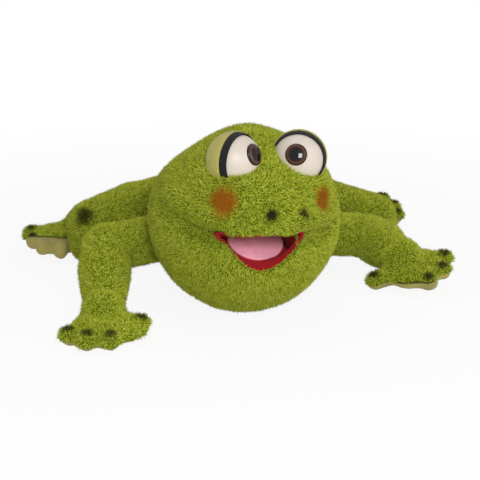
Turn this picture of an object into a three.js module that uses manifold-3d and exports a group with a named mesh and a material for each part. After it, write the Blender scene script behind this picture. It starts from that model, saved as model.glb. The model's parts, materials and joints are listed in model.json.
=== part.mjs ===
// Plush frog hand puppet, lying on its belly with its head turned and its mouth ajar.
// Millimetres, +Z up. The frog faces -Y and its left side is +X.
// The origin is on the floor, under the middle of the belly.

import * as THREE from 'three';
import { mergeVertices } from 'three/addons/utils/BufferGeometryUtils.js';
import { ConvexGeometry } from 'three/addons/geometries/ConvexGeometry.js';
import Module from 'manifold-3d';

const wasm = await Module();
wasm.setup();

// Cloth, filling and clearances
const PLUSH = 4; // pile and backing of the fur cloth
const FOAM = 15; // foam wall that keeps the head round
const FELT = 1.6; // mouth felt and sole suede
const BOARD = 2.5; // stiff mouth boards
const LINING = 1.5; // cotton of the sleeve lining and of the pockets
const SEAM_GAP = 0.3; // between pieces that are sewn or glued together
const JOINT_GAP = 0.8; // between pieces that turn against each other
const FLOOR_FLAT = 0.5; // depth of the flats that the soft parts rest on

// Head
const HEAD_RADIUS = 95;
const HEAD_REACH = 165; // head centre in front of the belly centre
const HEAD_TURN = 15; // degrees that the head looks to its left
const SNOUT_REACH = 12; // swell of the snout out of the round head
const SNOUT_RISE = 22; // degrees of the swell's middle over the head's centre
const SNOUT_TURN = 10; // degrees that the soft snout is pushed to the frog's right
const SNOUT_SPREAD = 48; // degrees over which the swell fades
const EYE_BAG_REACH = 6; // swell of the pad below and outside each eye
const EYE_BAG_SPREAD = 24; // degrees over which that swell fades
const TEMPLE_DIP = 10; // flattening of the head behind each eye
const TEMPLE_SPREAD = 40; // degrees over which the dip fades

// Mouth
const HINGE_FORWARD = 14; // jaw hinge in front of the head's centre
const HINGE_RISE = 3;
const PALATE_RISE = 2; // palate felt over the hinge line
const BOARD_SETBACK = 5; // rear edge of the boards in front of the hinge
const MOUTH_OPEN = 26; // degrees at rest
const JAW_OPENS = 8; // further degrees, down
const THROAT_LEAN = 12; // degrees that the throat seam leans back
const LIP_WIDTH = 92; // between the corners of the mouth
const LIP_MIDDLE = -19; // middle of the mouth, pushed to the frog's right like the snout
const LIP_DROP = 44; // depth of the V between the cheeks
const CHEEK = 6; // thickness of the cheek folds
const TONGUE_WIDTH = 55;
const TONGUE_LENGTH = 63;
const TONGUE_TURN = 13; // degrees that the tongue points to the frog's right
const TONGUE_THICK = 2.2;
const TONGUE_TAPER = 0.8; // width of its root as a share of its width
const TONGUE_SETBACK = 4; // root in front of the rear edge of its board

// Pockets for the hand
const FINGER_POCKET_SHARE = 0.905; // width as a share of the head's radius
const FINGER_POCKET_HEIGHT = 30;
const THUMB_POCKET_WIDTH = 38;
const THUMB_POCKET_HEIGHT = 26;
const POCKET_LENGTH = 32;
const POCKET_SETBACK = 2; // in front of the rear edge of its board

// Eyes
const EYE_APART = 31; // degrees of each eye to its side of the middle
const EYE_UP = 48.8; // degrees of the eyes over the head's centre
const EYE_SKEW = 1.5; // degrees that the right eye stands higher and the left one lower
const EYE_STANDOFF = 0; // eyeball's centre outside the round head
const EYEBALL_RADIUS = 24.6;
const EYE_TURN_IN = 33; // degrees that the eyes look inwards
const EYE_TILT = 20; // degrees that the eyes look up
const LID = 2; // velour lid over the back of the eyeball
const LINER_WIDTH = 7;
const LINER = 1.2;
const IRIS_RADIUS = 10.4;
const IRIS_DOME = 3.6;
const IRIS_POST_RADIUS = 2.6;
const IRIS_POST_LENGTH = 9;

// Torso
const TORSO_NECK_RADIUS = 57;
const TORSO_SHOULDER_RADIUS = 62;
const TORSO_BELLY_RADIUS = 66;
const TORSO_HIP_RADIUS = 63;
const TORSO_REAR_RADIUS = 54;
const TORSO_SQUAT = 0.82; // height as a share of the width
const SHOULDER_FORWARD = 80; // in front of the belly centre
const SHOULDER_HEIGHT = 50;
const HIP_BACK = 36; // behind the belly centre
const HIP_HEIGHT = 60;
const SLEEVE_BACK = 92; // end of the sleeve behind the belly centre
const HEM_LENGTH = 9;
const HEM_ROLL = 2; // how far the hem stands out of the cloth
const NECK_TILT = 24; // degrees that the neck slopes down to the torso
const NECK_HALF_ANGLE = 26; // of the passage into the head
const NECK_BAND = 2.4;
const NECK_BAND_ANGLE = 9;

// Limbs
const UPPER_ARM_LENGTH = 100;
const UPPER_ARM_RADIUS = 25;
const FOREARM_LENGTH = 74;
const FOREARM_RADIUS = 25.5;
const ELBOW_RADIUS = 24;
const WRIST_RADIUS = 21;
const THIGH_LENGTH = 120;
const THIGH_RADIUS = 33;
const HIP_RADIUS = 27;
const SHIN_LENGTH = 70;
const SHIN_RADIUS = 23;
const KNEE_RADIUS = 32;
const ANKLE_RADIUS = 20;

// Hands and feet, each a palm with blunt fingers spread in degrees from the joint, the inner one last
const HAND = {
  reach: 68, thumbReach: 66, spread: [-50, -16, 18, 96], finger: 12, tip: 12.5, palm: 58, heel: 22, drop: 24,
};
const FOOT = {
  reach: 70, thumbReach: 70, spread: [-46, -16, 15, 46], finger: 12, tip: 12.5, palm: 58, heel: 22, drop: 25,
};

// Rest pose in degrees, with headings from straight out to the side towards the front,
// and the turn that each hinge makes from there, backwards and forwards.
const RIGHT = {
  side: -1,
  upperArm: 40, upperArmRise: 6, forearm: 87, hand: 82, handRoll: 0,
  thigh: 34, thighRise: -6, shin: -86, foot: 36, footRoll: -18,
  shoulderSwing: [-28, 3], elbowSwing: [-18, 18], hipSwing: [-34, 4], kneeSwing: [-10, 8],
};
const LEFT = {
  side: 1,
  upperArm: -15, upperArmRise: -11, forearm: 82, hand: 56, handRoll: 19,
  thigh: 13, thighRise: -14, shin: -96, foot: 4, footRoll: 14,
  shoulderSwing: [-27, 3], elbowSwing: [-32, 12], hipSwing: [-3, 22], kneeSwing: [-12, 8],
};
const PAW_FLAP = 20; // degrees that hands and feet flap, up and down
const FLAP_ROOM = 3; // further degrees that are left clear

// Facets
const HEAD_SIDES = 28;
const FOAM_SIDES = 20;
const TORSO_SIDES = 20;
const LIMB_SIDES = 12;
const ROOM_SIDES = 20;
const PAW_SIDES = 8;
const EYE_SIDES = 16;

// Sizes that follow from the ones above
const HEAD_HEIGHT = HEAD_RADIUS - FLOOR_FLAT;
const TORSO_HEIGHT = TORSO_BELLY_RADIUS * TORSO_SQUAT - FLOOR_FLAT;
const FINGER_POCKET_WIDTH = HEAD_RADIUS * FINGER_POCKET_SHARE;
const FOAM_INSET = PLUSH + SEAM_GAP;
const CAVITY_INSET = FOAM_INSET + FOAM;
const MOUTH_STACK = FELT + SEAM_GAP + BOARD + SEAM_GAP;
const NECK_INNER = outsideOf(HEAD_RADIUS + JOINT_GAP / 2, HEAD_SIDES);
const NECK_OUTER = NECK_INNER + NECK_BAND;
const FAR = 400; // larger than any part, for cutting blocks

const FUR = '#8ea52c';
const PALE_FUR = '#b9c26b';
const FELT_RED = '#a3121f';
const TONGUE_PINK = '#c8708f';
const SUEDE = '#7d7430';
const COTTON = '#5d6b2a';
const FOAM_GREY = '#c9c6b8';
const BOARD_BLACK = '#2c2c2e';

function rad(degrees) {
  return THREE.MathUtils.degToRad(degrees);
}

// Radius of a facetted round whose flats all stay outside the given radius
function outsideOf(radius, sides) {
  return radius / Math.cos(Math.PI / sides);
}

function toSolid(geometry) {
  const bare = geometry.clone();
  bare.deleteAttribute('normal');
  bare.deleteAttribute('uv');
  const welded = mergeVertices(bare, 1e-4);
  const corners = welded.index.array;
  const kept = [];
  for (let i = 0; i < corners.length; i += 3) {
    const [a, b, c] = [corners[i], corners[i + 1], corners[i + 2]];
    if (a !== b && b !== c && c !== a) kept.push(a, b, c);
  }
  const vertProperties = Float32Array.from(welded.attributes.position.array);
  return new wasm.Manifold(new wasm.Mesh({ numProp: 3, vertProperties, triVerts: Uint32Array.from(kept) }));
}

function toGeometry(solid) {
  const { vertProperties, triVerts } = solid.getMesh();
  const geometry = new THREE.BufferGeometry();
  geometry.setAttribute('position', new THREE.BufferAttribute(Float32Array.from(vertProperties), 3));
  geometry.setIndex(new THREE.BufferAttribute(Uint32Array.from(triVerts), 1));
  geometry.computeVertexNormals();
  return geometry;
}

function cut(form, ...tools) {
  return toGeometry(tools.reduce((left, tool) => left.subtract(toSolid(tool)), toSolid(form)));
}

function common(form, ...tools) {
  return toGeometry(tools.reduce((left, tool) => left.intersect(toSolid(tool)), toSolid(form)));
}

function join(first, ...others) {
  return toGeometry(others.reduce((whole, form) => whole.add(toSolid(form)), toSolid(first)));
}

function cloth(color) {
  return new THREE.MeshStandardMaterial({ color, roughness: 0.95 });
}

function glossy(color) {
  return new THREE.MeshStandardMaterial({ color, roughness: 0.12 });
}

function piece(group, name, geometry, material) {
  const mesh = new THREE.Mesh(geometry, material);
  mesh.name = name;
  group.add(mesh);
  return mesh;
}

function frame(parent, name, matrix) {
  const group = new THREE.Group();
  group.name = name;
  matrix.decompose(group.position, group.quaternion, group.scale);
  parent.add(group);
  group.updateWorldMatrix(true, false);
  return group;
}

// A form given in the frog's own frame, as it lies in a group's frame
function within(group, geometry) {
  return geometry.clone().applyMatrix4(group.matrixWorld.clone().invert());
}

function block(min, max) {
  const size = max.clone().sub(min);
  const middle = min.clone().add(max).multiplyScalar(0.5);
  return new THREE.BoxGeometry(size.x, size.y, size.z).translate(middle.x, middle.y, middle.z);
}

function slab(zFrom, zTo, yTo) {
  return block(new THREE.Vector3(-FAR, -FAR, zFrom), new THREE.Vector3(FAR, yTo, zTo));
}

const underFloor = block(new THREE.Vector3(-FAR, -FAR, -FAR), new THREE.Vector3(FAR, FAR, 0));

// Share of a swell or dip left at a direction, from one at its middle to none at its edge
function fade(direction, middle, spread) {
  const away = THREE.MathUtils.radToDeg(direction.angleTo(middle)) / spread;
  return Math.max(0, 1 - away * away) ** 2;
}

// The round head with its swollen snout and flattened temples, about the head's centre
function headForm(inset, sides) {
  const form = new THREE.SphereGeometry(HEAD_RADIUS - inset, sides, Math.round(sides * 0.6));
  form.rotateX(Math.PI / 2);
  const tip = directionOf(-1, 90 - SNOUT_TURN, SNOUT_RISE);
  const bags = [-1, 1].map((side) => new THREE.Vector3(0.5 * side, -0.66, 0.56));
  const temples = [-1, 1].map((side) => new THREE.Vector3(0.38 * side, 0.42, 0.82));
  const place = form.attributes.position;
  for (let i = 0; i < place.count; i += 1) {
    const spot = new THREE.Vector3().fromBufferAttribute(place, i);
    const out = spot.clone().normalize();
    spot.addScaledVector(tip, SNOUT_REACH * fade(out, tip, SNOUT_SPREAD));
    for (const bag of bags) spot.addScaledVector(bag, EYE_BAG_REACH * fade(out, bag, EYE_BAG_SPREAD));
    for (const temple of temples) spot.addScaledVector(out, -TEMPLE_DIP * fade(out, temple, TEMPLE_SPREAD));
    place.setXYZ(i, spot.x, spot.y, spot.z);
  }
  return form;
}

// Prism across the head between two planes that meet in an edge along X.
// Angles run from forward to down.
function wedge(edgeForward, edgeRise, from, to) {
  const outline = new THREE.Shape();
  outline.moveTo(0, 0);
  const steps = Math.ceil((to - from) / 40);
  for (let i = 0; i <= steps; i += 1) {
    const angle = rad(from + ((to - from) * i) / steps);
    outline.lineTo(FAR * Math.cos(angle), FAR * Math.sin(angle));
  }
  const prism = new THREE.ExtrudeGeometry(outline, { depth: 2 * FAR, bevelEnabled: false });
  prism.translate(0, 0, -FAR);
  const forward = new THREE.Vector3(0, -1, 0);
  const down = new THREE.Vector3(0, 0, -1);
  const across = new THREE.Vector3(1, 0, 0);
  prism.applyMatrix4(new THREE.Matrix4().makeBasis(forward, down, across));
  return prism.translate(0, -edgeForward, edgeRise);
}

// Half tube along Y, open at both ends, standing on z = 0
function arch(width, height, length) {
  const outline = new THREE.Shape();
  outline.absellipse(0, 0, width / 2, height, 0, Math.PI, false, 0);
  outline.lineTo(-width / 2 + LINING, 0);
  outline.absellipse(0, 0, width / 2 - LINING, height - LINING, Math.PI, 0, true, 0);
  outline.closePath();
  const tube = new THREE.ExtrudeGeometry(outline, { depth: length, bevelEnabled: false, curveSegments: 10 });
  return tube.rotateX(Math.PI / 2);
}

// Cone from the head's centre down the neck, in the frog's frame moved to that centre
function neckCone() {
  const radius = 2 * HEAD_RADIUS * Math.tan(rad(NECK_HALF_ANGLE));
  const profile = [
    new THREE.Vector2(0, 0),
    new THREE.Vector2(radius, 2 * HEAD_RADIUS),
    new THREE.Vector2(0, 2 * HEAD_RADIUS),
  ];
  return new THREE.LatheGeometry(profile, FOAM_SIDES).rotateX(-rad(NECK_TILT));
}

function buildHead(frog) {
  const centre = new THREE.Matrix4().makeTranslation(0, -HEAD_REACH, HEAD_HEIGHT);
  const turned = centre.clone().multiply(new THREE.Matrix4().makeRotationZ(rad(HEAD_TURN)));
  const head = frame(frog, 'head', turned);
  const passage = within(head, neckCone().applyMatrix4(centre));
  const throat = 90 + THROAT_LEAN + JAW_OPENS + 1;
  const palate = HINGE_RISE + PALATE_RISE;
  const mouth = wedge(HINGE_FORWARD, palate, 0, throat);
  const boarded = wedge(HINGE_FORWARD, palate + MOUTH_STACK, 0, throat);
  const boardEnd = -HINGE_FORWARD - BOARD_SETBACK;

  const cover = cut(headForm(0, HEAD_SIDES), headForm(PLUSH, FOAM_SIDES), mouth, passage);
  piece(head, 'head_cover', cover, cloth(FUR));
  const foam = cut(headForm(FOAM_INSET, FOAM_SIDES), headForm(CAVITY_INSET, FOAM_SIDES), boarded, passage);
  piece(head, 'head_foam', foam, cloth(FOAM_GREY));
  const felt = common(slab(palate, palate + FELT, boardEnd), headForm(FOAM_INSET, FOAM_SIDES));
  piece(head, 'palate_felt', felt, cloth(FELT_RED));
  const boardFrom = palate + FELT + SEAM_GAP;
  const board = common(slab(boardFrom, boardFrom + BOARD, boardEnd), headForm(FOAM_INSET, FOAM_SIDES));
  piece(head, 'palate_board', board, cloth(BOARD_BLACK));
  const pocket = arch(FINGER_POCKET_WIDTH, FINGER_POCKET_HEIGHT, POCKET_LENGTH);
  pocket.translate(0, boardEnd - POCKET_SETBACK, palate + MOUTH_STACK);
  piece(head, 'finger_pocket', pocket, cloth(COTTON));

  for (const side of [-1, 1]) buildCheek(head, side, palate);
  for (const side of [-1, 1]) buildEye(head, side);
  buildJaw(head);
  return head;
}

// Soft fold of the head's cloth between the lips, behind the corner of the mouth
function buildCheek(head, side, palate) {
  const gape = common(
    wedge(HINGE_FORWARD, palate - SEAM_GAP, 0, 90),
    wedge(HINGE_FORWARD, HINGE_RISE, -90, MOUTH_OPEN - 0.4),
  );
  const opening = new THREE.Shape();
  opening.moveTo(LIP_MIDDLE - LIP_WIDTH / 2, palate);
  opening.lineTo(LIP_MIDDLE, palate - LIP_DROP);
  opening.lineTo(LIP_MIDDLE + LIP_WIDTH / 2, palate);
  opening.lineTo(LIP_MIDDLE + LIP_WIDTH / 2, palate + FAR);
  opening.lineTo(LIP_MIDDLE - LIP_WIDTH / 2, palate + FAR);
  const lips = new THREE.ExtrudeGeometry(opening, { depth: FAR, bevelEnabled: false }).rotateX(Math.PI / 2);
  const outer = LIP_MIDDLE + Math.max(0, side) * FAR;
  const half = block(new THREE.Vector3(outer - FAR, -FAR, -FAR), new THREE.Vector3(outer, FAR, FAR));
  const shell = cut(headForm(0, HEAD_SIDES), headForm(CHEEK, HEAD_SIDES), lips);
  const name = side < 0 ? 'right_cheek' : 'left_cheek';
  piece(head, name, common(shell, gape, half), cloth(FUR));
}

function buildJaw(head) {
  const hinge = new THREE.Matrix4().makeTranslation(0, -HINGE_FORWARD, HINGE_RISE);
  const jaw = frame(head, 'jaw', hinge.multiply(new THREE.Matrix4().makeRotationX(rad(MOUTH_OPEN))));
  jaw.updateMatrix();
  const toJaw = jaw.matrix.clone().invert();
  const local = (geometry) => geometry.applyMatrix4(toJaw);
  const zone = local(wedge(HINGE_FORWARD, HINGE_RISE, MOUTH_OPEN, 90 + THROAT_LEAN));
  const floor = within(jaw, underFloor);
  const edge = local(headForm(FOAM_INSET, FOAM_SIDES));

  const shell = cut(headForm(0, HEAD_SIDES), headForm(PLUSH, FOAM_SIDES));
  piece(jaw, 'jaw_cover', cut(common(local(shell), zone), floor), cloth(FUR));
  const wall = cut(headForm(FOAM_INSET, FOAM_SIDES), headForm(CAVITY_INSET, FOAM_SIDES));
  piece(jaw, 'jaw_foam', cut(common(local(wall), zone), slab(-MOUTH_STACK, FAR, FAR)), cloth(FOAM_GREY));
  piece(jaw, 'jaw_felt', common(slab(-FELT, 0, -BOARD_SETBACK), edge), cloth(FELT_RED));
  const boardTop = -FELT - SEAM_GAP;
  piece(jaw, 'jaw_board', common(slab(boardTop - BOARD, boardTop, -BOARD_SETBACK), edge), cloth(BOARD_BLACK));

  const outline = new THREE.Shape();
  const half = TONGUE_WIDTH / 2;
  const narrow = half * TONGUE_TAPER;
  const root = BOARD_SETBACK + TONGUE_SETBACK + narrow * Math.tan(rad(TONGUE_TURN));
  outline.moveTo(-narrow, root);
  outline.lineTo(narrow, root);
  outline.lineTo(half, TONGUE_LENGTH - half);
  outline.absarc(0, TONGUE_LENGTH - half, half, 0, Math.PI, false);
  outline.closePath();
  const flat = { depth: TONGUE_THICK, bevelEnabled: false, curveSegments: 10 };
  const tongue = new THREE.ExtrudeGeometry(outline, flat);
  tongue.rotateX(Math.PI).rotateZ(-rad(TONGUE_TURN)).translate(0, 0, SEAM_GAP + TONGUE_THICK);
  piece(jaw, 'tongue', tongue, cloth(TONGUE_PINK));

  const pocket = arch(THUMB_POCKET_WIDTH, THUMB_POCKET_HEIGHT, POCKET_LENGTH);
  pocket.rotateY(Math.PI).translate(0, -BOARD_SETBACK - POCKET_SETBACK, -MOUTH_STACK);
  piece(jaw, 'thumb_pocket', pocket, cloth(COTTON));
}

// Eyeball with its iris, velour lid and black liner, all sewn on the round of the head
function buildEye(head, side) {
  const name = side < 0 ? 'right' : 'left';
  const level = Math.cos(rad(EYE_TILT));
  const look = new THREE.Vector3(
    -side * level * Math.sin(rad(EYE_TURN_IN)),
    -level * Math.cos(rad(EYE_TURN_IN)),
    Math.sin(rad(EYE_TILT)),
  );
  const across = new THREE.Vector3(0, 0, 1).cross(look).normalize();
  const up = look.clone().cross(across);
  const place = new THREE.Matrix4().makeBasis(across, up, look);
  const out = directionOf(side, 90 - EYE_APART, EYE_UP - side * EYE_SKEW);
  place.setPosition(out.multiplyScalar(HEAD_RADIUS + EYE_STANDOFF));
  const eye = frame(head, `${name}_eye`, place);
  eye.updateMatrix();
  const skull = headForm(-SEAM_GAP, HEAD_SIDES).applyMatrix4(eye.matrix.clone().invert());
  const ball = (radius) => (
    new THREE.SphereGeometry(radius, EYE_SIDES, EYE_SIDES * 0.625).rotateX(Math.PI / 2)
  );
  const bore = IRIS_POST_RADIUS + SEAM_GAP;
  const socket = new THREE.CylinderGeometry(bore, bore, FAR, 10);
  socket.rotateX(Math.PI / 2).translate(0, 0, FAR / 2 + EYEBALL_RADIUS - IRIS_POST_LENGTH - SEAM_GAP);
  const seat = block(new THREE.Vector3(-FAR, -FAR, irisSeat()), new THREE.Vector3(FAR, FAR, FAR));
  const inside = EYEBALL_RADIUS + SEAM_GAP;
  const back = block(new THREE.Vector3(-FAR, -FAR, -FAR), new THREE.Vector3(FAR, FAR, 0));
  const front = new THREE.Vector3(FAR, FAR, SEAM_GAP + LINER_WIDTH);
  const band = block(new THREE.Vector3(-FAR, -FAR, SEAM_GAP), front);

  piece(eye, `${name}_eyeball`, cut(ball(EYEBALL_RADIUS), skull, socket, seat), cloth('#f1f0ea'));
  const lid = common(cut(ball(inside + LID), ball(inside), skull), back);
  piece(eye, `${name}_lid`, lid, cloth(PALE_FUR));
  const liner = common(cut(ball(inside + LINER), ball(inside), skull), band);
  piece(eye, `${name}_liner`, liner, cloth('#151515'));
  piece(eye, `${name}_iris`, irisForm(), glossy('#4a2712'));
}

// Flat on the eyeball's front that the iris sits on
function irisSeat() {
  return Math.sqrt(EYEBALL_RADIUS ** 2 - IRIS_RADIUS ** 2);
}

function irisForm() {
  const seat = irisSeat() + SEAM_GAP;
  const profile = [new THREE.Vector2(0, EYEBALL_RADIUS - IRIS_POST_LENGTH)];
  profile.push(new THREE.Vector2(IRIS_POST_RADIUS, EYEBALL_RADIUS - IRIS_POST_LENGTH));
  profile.push(new THREE.Vector2(IRIS_POST_RADIUS, seat), new THREE.Vector2(IRIS_RADIUS, seat));
  profile.push(new THREE.Vector2(IRIS_RADIUS, seat + IRIS_DOME * 0.35));
  profile.push(new THREE.Vector2(IRIS_RADIUS * 0.78, seat + IRIS_DOME * 0.75));
  profile.push(new THREE.Vector2(IRIS_RADIUS * 0.42, seat + IRIS_DOME * 0.95));
  profile.push(new THREE.Vector2(0, seat + IRIS_DOME));
  return new THREE.LatheGeometry(profile, 16).rotateX(Math.PI / 2);
}

// Half-width of the torso along Y, as points from the neck to the end of the sleeve
function torsoProfile() {
  return [
    new THREE.Vector2(TORSO_NECK_RADIUS, -HEAD_REACH + HEAD_RADIUS * 0.3),
    new THREE.Vector2(TORSO_SHOULDER_RADIUS, -SHOULDER_FORWARD),
    new THREE.Vector2(TORSO_BELLY_RADIUS, 0),
    new THREE.Vector2(TORSO_HIP_RADIUS, HIP_BACK),
    new THREE.Vector2(TORSO_REAR_RADIUS, SLEEVE_BACK),
  ];
}

function turnedTorso(points) {
  const form = new THREE.LatheGeometry(points, TORSO_SIDES);
  return form.scale(1, 1, TORSO_SQUAT).translate(0, 0, TORSO_HEIGHT);
}

function torsoForm(inset, overrun) {
  const profile = torsoProfile().map((point) => new THREE.Vector2(point.x - inset, point.y));
  profile[0].y -= overrun;
  profile[profile.length - 1].y += overrun;
  const ends = [new THREE.Vector2(0, profile[0].y), new THREE.Vector2(0, profile[profile.length - 1].y)];
  return turnedTorso([ends[0], ...profile, ends[1]]);
}

function roundAtHead(radius) {
  const reach = outsideOf(outsideOf(radius, HEAD_SIDES), HEAD_SIDES);
  const ball = new THREE.SphereGeometry(reach, HEAD_SIDES, HEAD_SIDES / 2);
  return ball.rotateX(Math.PI / 2).translate(0, -HEAD_REACH, HEAD_HEIGHT);
}

// The round that the head and neck need, as a limb sees it when it has swung about its root
function headAtSwing(root, turn) {
  const ball = roundAtHead(NECK_OUTER + JOINT_GAP / 2).translate(-root.x, -root.y, -root.z);
  return ball.rotateZ(-rad(turn)).translate(root.x, root.y, root.z);
}

function buildTorso(frog) {
  const torso = frame(frog, 'torso', new THREE.Matrix4());
  const neck = roundAtHead(NECK_OUTER + JOINT_GAP / 2);
  const shell = cut(torsoForm(0, 0), torsoForm(PLUSH, 1), neck, underFloor);
  const seamTop = TORSO_HEIGHT + SEAM_GAP / 2;
  const seamLow = TORSO_HEIGHT - SEAM_GAP / 2;
  piece(torso, 'back_panel', cut(shell, slab(-FAR, seamTop, FAR)), cloth(FUR));
  piece(torso, 'belly_panel', cut(shell, slab(seamLow, FAR, FAR)), cloth(PALE_FUR));
  const lined = PLUSH + SEAM_GAP;
  const lining = cut(torsoForm(lined, 0), torsoForm(lined + LINING, 1), neck);
  piece(torso, 'sleeve_lining', lining, cloth(COTTON));

  const rim = SLEEVE_BACK + SEAM_GAP;
  const inner = TORSO_REAR_RADIUS - lined - LINING;
  const outer = TORSO_REAR_RADIUS + HEM_ROLL;
  const hem = [
    new THREE.Vector2(inner, rim),
    new THREE.Vector2(outer, rim),
    new THREE.Vector2(outer + 1, rim + HEM_LENGTH / 2),
    new THREE.Vector2(outer, rim + HEM_LENGTH),
    new THREE.Vector2(inner, rim + HEM_LENGTH),
    new THREE.Vector2(inner, rim),
  ];
  piece(torso, 'opening_hem', turnedTorso(hem), cloth(COTTON));
  return torso;
}

// Soft band that closes the gap between the head and the torso
function buildNeck(frog) {
  const neck = frame(frog, 'neck', new THREE.Matrix4().makeTranslation(0, -HEAD_REACH, HEAD_HEIGHT));
  const from = rad(NECK_HALF_ANGLE + 1);
  const step = rad(NECK_BAND_ANGLE) / 2;
  const profile = [];
  for (let i = 0; i <= 2; i += 1) profile.push([NECK_INNER, from + step * i]);
  for (let i = 2; i >= 0; i -= 1) profile.push([NECK_OUTER, from + step * i]);
  profile.push(profile[0]);
  const points = profile.map(([radius, angle]) => (
    new THREE.Vector2(radius * Math.sin(angle), radius * Math.cos(angle))
  ));
  const band = new THREE.LatheGeometry(points, HEAD_SIDES).rotateX(-rad(NECK_TILT));
  piece(neck, 'neck_band', band, cloth(FUR));
}

// Stuffed tube along +X from a joint at the origin, round at both ends and fullest in the middle
function segmentForm(length, startRadius, middleRadius, endRadius, sides = LIMB_SIDES) {
  const profile = [new THREE.Vector2(0, -startRadius)];
  for (const share of [0.5, 1]) {
    const angle = share * Math.PI / 2;
    profile.push(new THREE.Vector2(startRadius * Math.sin(angle), -startRadius * Math.cos(angle)));
  }
  profile.push(new THREE.Vector2(middleRadius, length * 0.5));
  for (const share of [0, 0.5]) {
    const angle = share * Math.PI / 2;
    profile.push(new THREE.Vector2(endRadius * Math.cos(angle), length + endRadius * Math.sin(angle)));
  }
  profile.push(new THREE.Vector2(0, length + endRadius));
  return new THREE.LatheGeometry(profile, sides).rotateZ(-Math.PI / 2);
}

function directionOf(side, heading, rise) {
  const level = Math.cos(rad(rise));
  const out = side * level * Math.cos(rad(heading));
  return new THREE.Vector3(out, -level * Math.sin(rad(heading)), Math.sin(rad(rise)));
}

// Frame whose X runs along a limb and whose Z is as near to the given axis as it can be
function limbFrame(parent, name, start, along, axis) {
  const x = along.clone().normalize();
  const y = axis.clone().cross(x).normalize();
  const z = x.clone().cross(y);
  return frame(parent, name, new THREE.Matrix4().makeBasis(x, y, z).setPosition(start));
}

// Block that fills the inner side of a plane through a point, facing along a level normal
function innerBlock(point, normal, turn) {
  const form = new THREE.BoxGeometry(FAR, 2 * FAR, 2 * FAR).translate(-FAR / 2, 0, 0);
  form.rotateZ(Math.atan2(normal.y, normal.x) + turn);
  return form.translate(point.x, point.y, point.z);
}

// Room that a stuffed tube sweeps about its round end while the joint there turns
function sweptTube(joint, back, axis, turns, endRadius, middleRadius) {
  const points = [];
  const steps = Math.ceil((turns[1] - turns[0]) / 12);
  const near = outsideOf(endRadius + JOINT_GAP / 2, ROOM_SIDES);
  const far = outsideOf(middleRadius + JOINT_GAP, ROOM_SIDES);
  for (let i = 0; i <= steps; i += 1) {
    const turn = turns[0] + ((turns[1] - turns[0]) * i) / steps;
    const along = back.clone().applyAxisAngle(axis, -rad(turn));
    const side = axis.clone().cross(along).normalize();
    const top = along.clone().cross(side);
    for (let k = 0; k < ROOM_SIDES; k += 1) {
      const angle = (2 * Math.PI * k) / ROOM_SIDES;
      const spoke = side.clone().multiplyScalar(Math.cos(angle)).addScaledVector(top, Math.sin(angle));
      points.push(joint.clone().addScaledVector(spoke, near));
      points.push(joint.clone().addScaledVector(spoke, far).addScaledVector(along, 2.2 * far));
    }
  }
  return new ConvexGeometry(points);
}

function roundRoom(joint, radius) {
  const room = outsideOf(outsideOf(radius + JOINT_GAP / 4, ROOM_SIDES), ROOM_SIDES);
  return new THREE.SphereGeometry(room, ROOM_SIDES, ROOM_SIDES / 2).translate(joint.x, joint.y, joint.z);
}

// Palm and four blunt fingers about a joint at the origin, pointing along +X, with the sole below
function pawForm(paw, side) {
  const floor = -paw.drop;
  const heel = new THREE.SphereGeometry(paw.heel, 10, 6).scale(1.05, 1, 0.95);
  heel.translate(paw.heel * 0.4, 0, -paw.heel * 0.1);
  const palm = new THREE.SphereGeometry(1, 12, 6).rotateX(Math.PI / 2);
  palm.scale(paw.palm * 0.5, paw.palm * 0.5, paw.palm * 0.26);
  palm.translate(paw.palm * 0.42, 0, floor + paw.palm * 0.155);
  const start = paw.palm * 0.3;
  const fingers = paw.spread.map((angle, place) => {
    const reach = place === paw.spread.length - 1 ? paw.thumbReach : paw.reach;
    const finger = segmentForm(reach - start - paw.tip, paw.finger, paw.finger, paw.tip, PAW_SIDES);
    finger.scale(1, 1, 0.82).rotateZ(rad(-side * angle));
    return finger.translate(start, 0, floor + paw.tip * 0.7);
  });
  return join(heel, palm, ...fingers);
}

// Height of a paw's joint over the floor when the paw lies on it, rolled about its own length
function pawHeight(paw, side, roll) {
  const sole = slab(-FAR, -paw.drop, FAR);
  const form = cut(pawForm(paw, side), sole).rotateX(rad(roll));
  form.computeBoundingBox();
  return -form.boundingBox.min.z - (roll === 0 ? 0 : FLOOR_FLAT);
}

// Paw that flaps at its joint, made of a plush top and a suede sole
function buildPaw(limb, name, paw, start, heading, roll, side, back, endRadius, middleRadius) {
  const along = directionOf(side, heading, 0);
  const up = new THREE.Vector3(0, 0, 1).applyAxisAngle(along, rad(roll));
  const axis = up.clone().cross(along).normalize();
  const group = limbFrame(limb, name, start, along, up);
  const flap = PAW_FLAP + FLAP_ROOM;
  const room = within(group, sweptTube(start, back, axis, [-flap, flap], endRadius, middleRadius));
  const cup = within(group, roundRoom(start, endRadius));
  const floor = within(group, underFloor);
  const sole = -paw.drop;
  const whole = cut(pawForm(paw, side), slab(-FAR, sole, FAR), floor, cup, room);
  piece(group, name, cut(whole, slab(-FAR, sole + FELT + SEAM_GAP, FAR)), cloth(FUR));
  piece(group, `${name}_sole`, common(whole, slab(-FAR, sole + FELT, FAR)), cloth(SUEDE));
}

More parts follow.
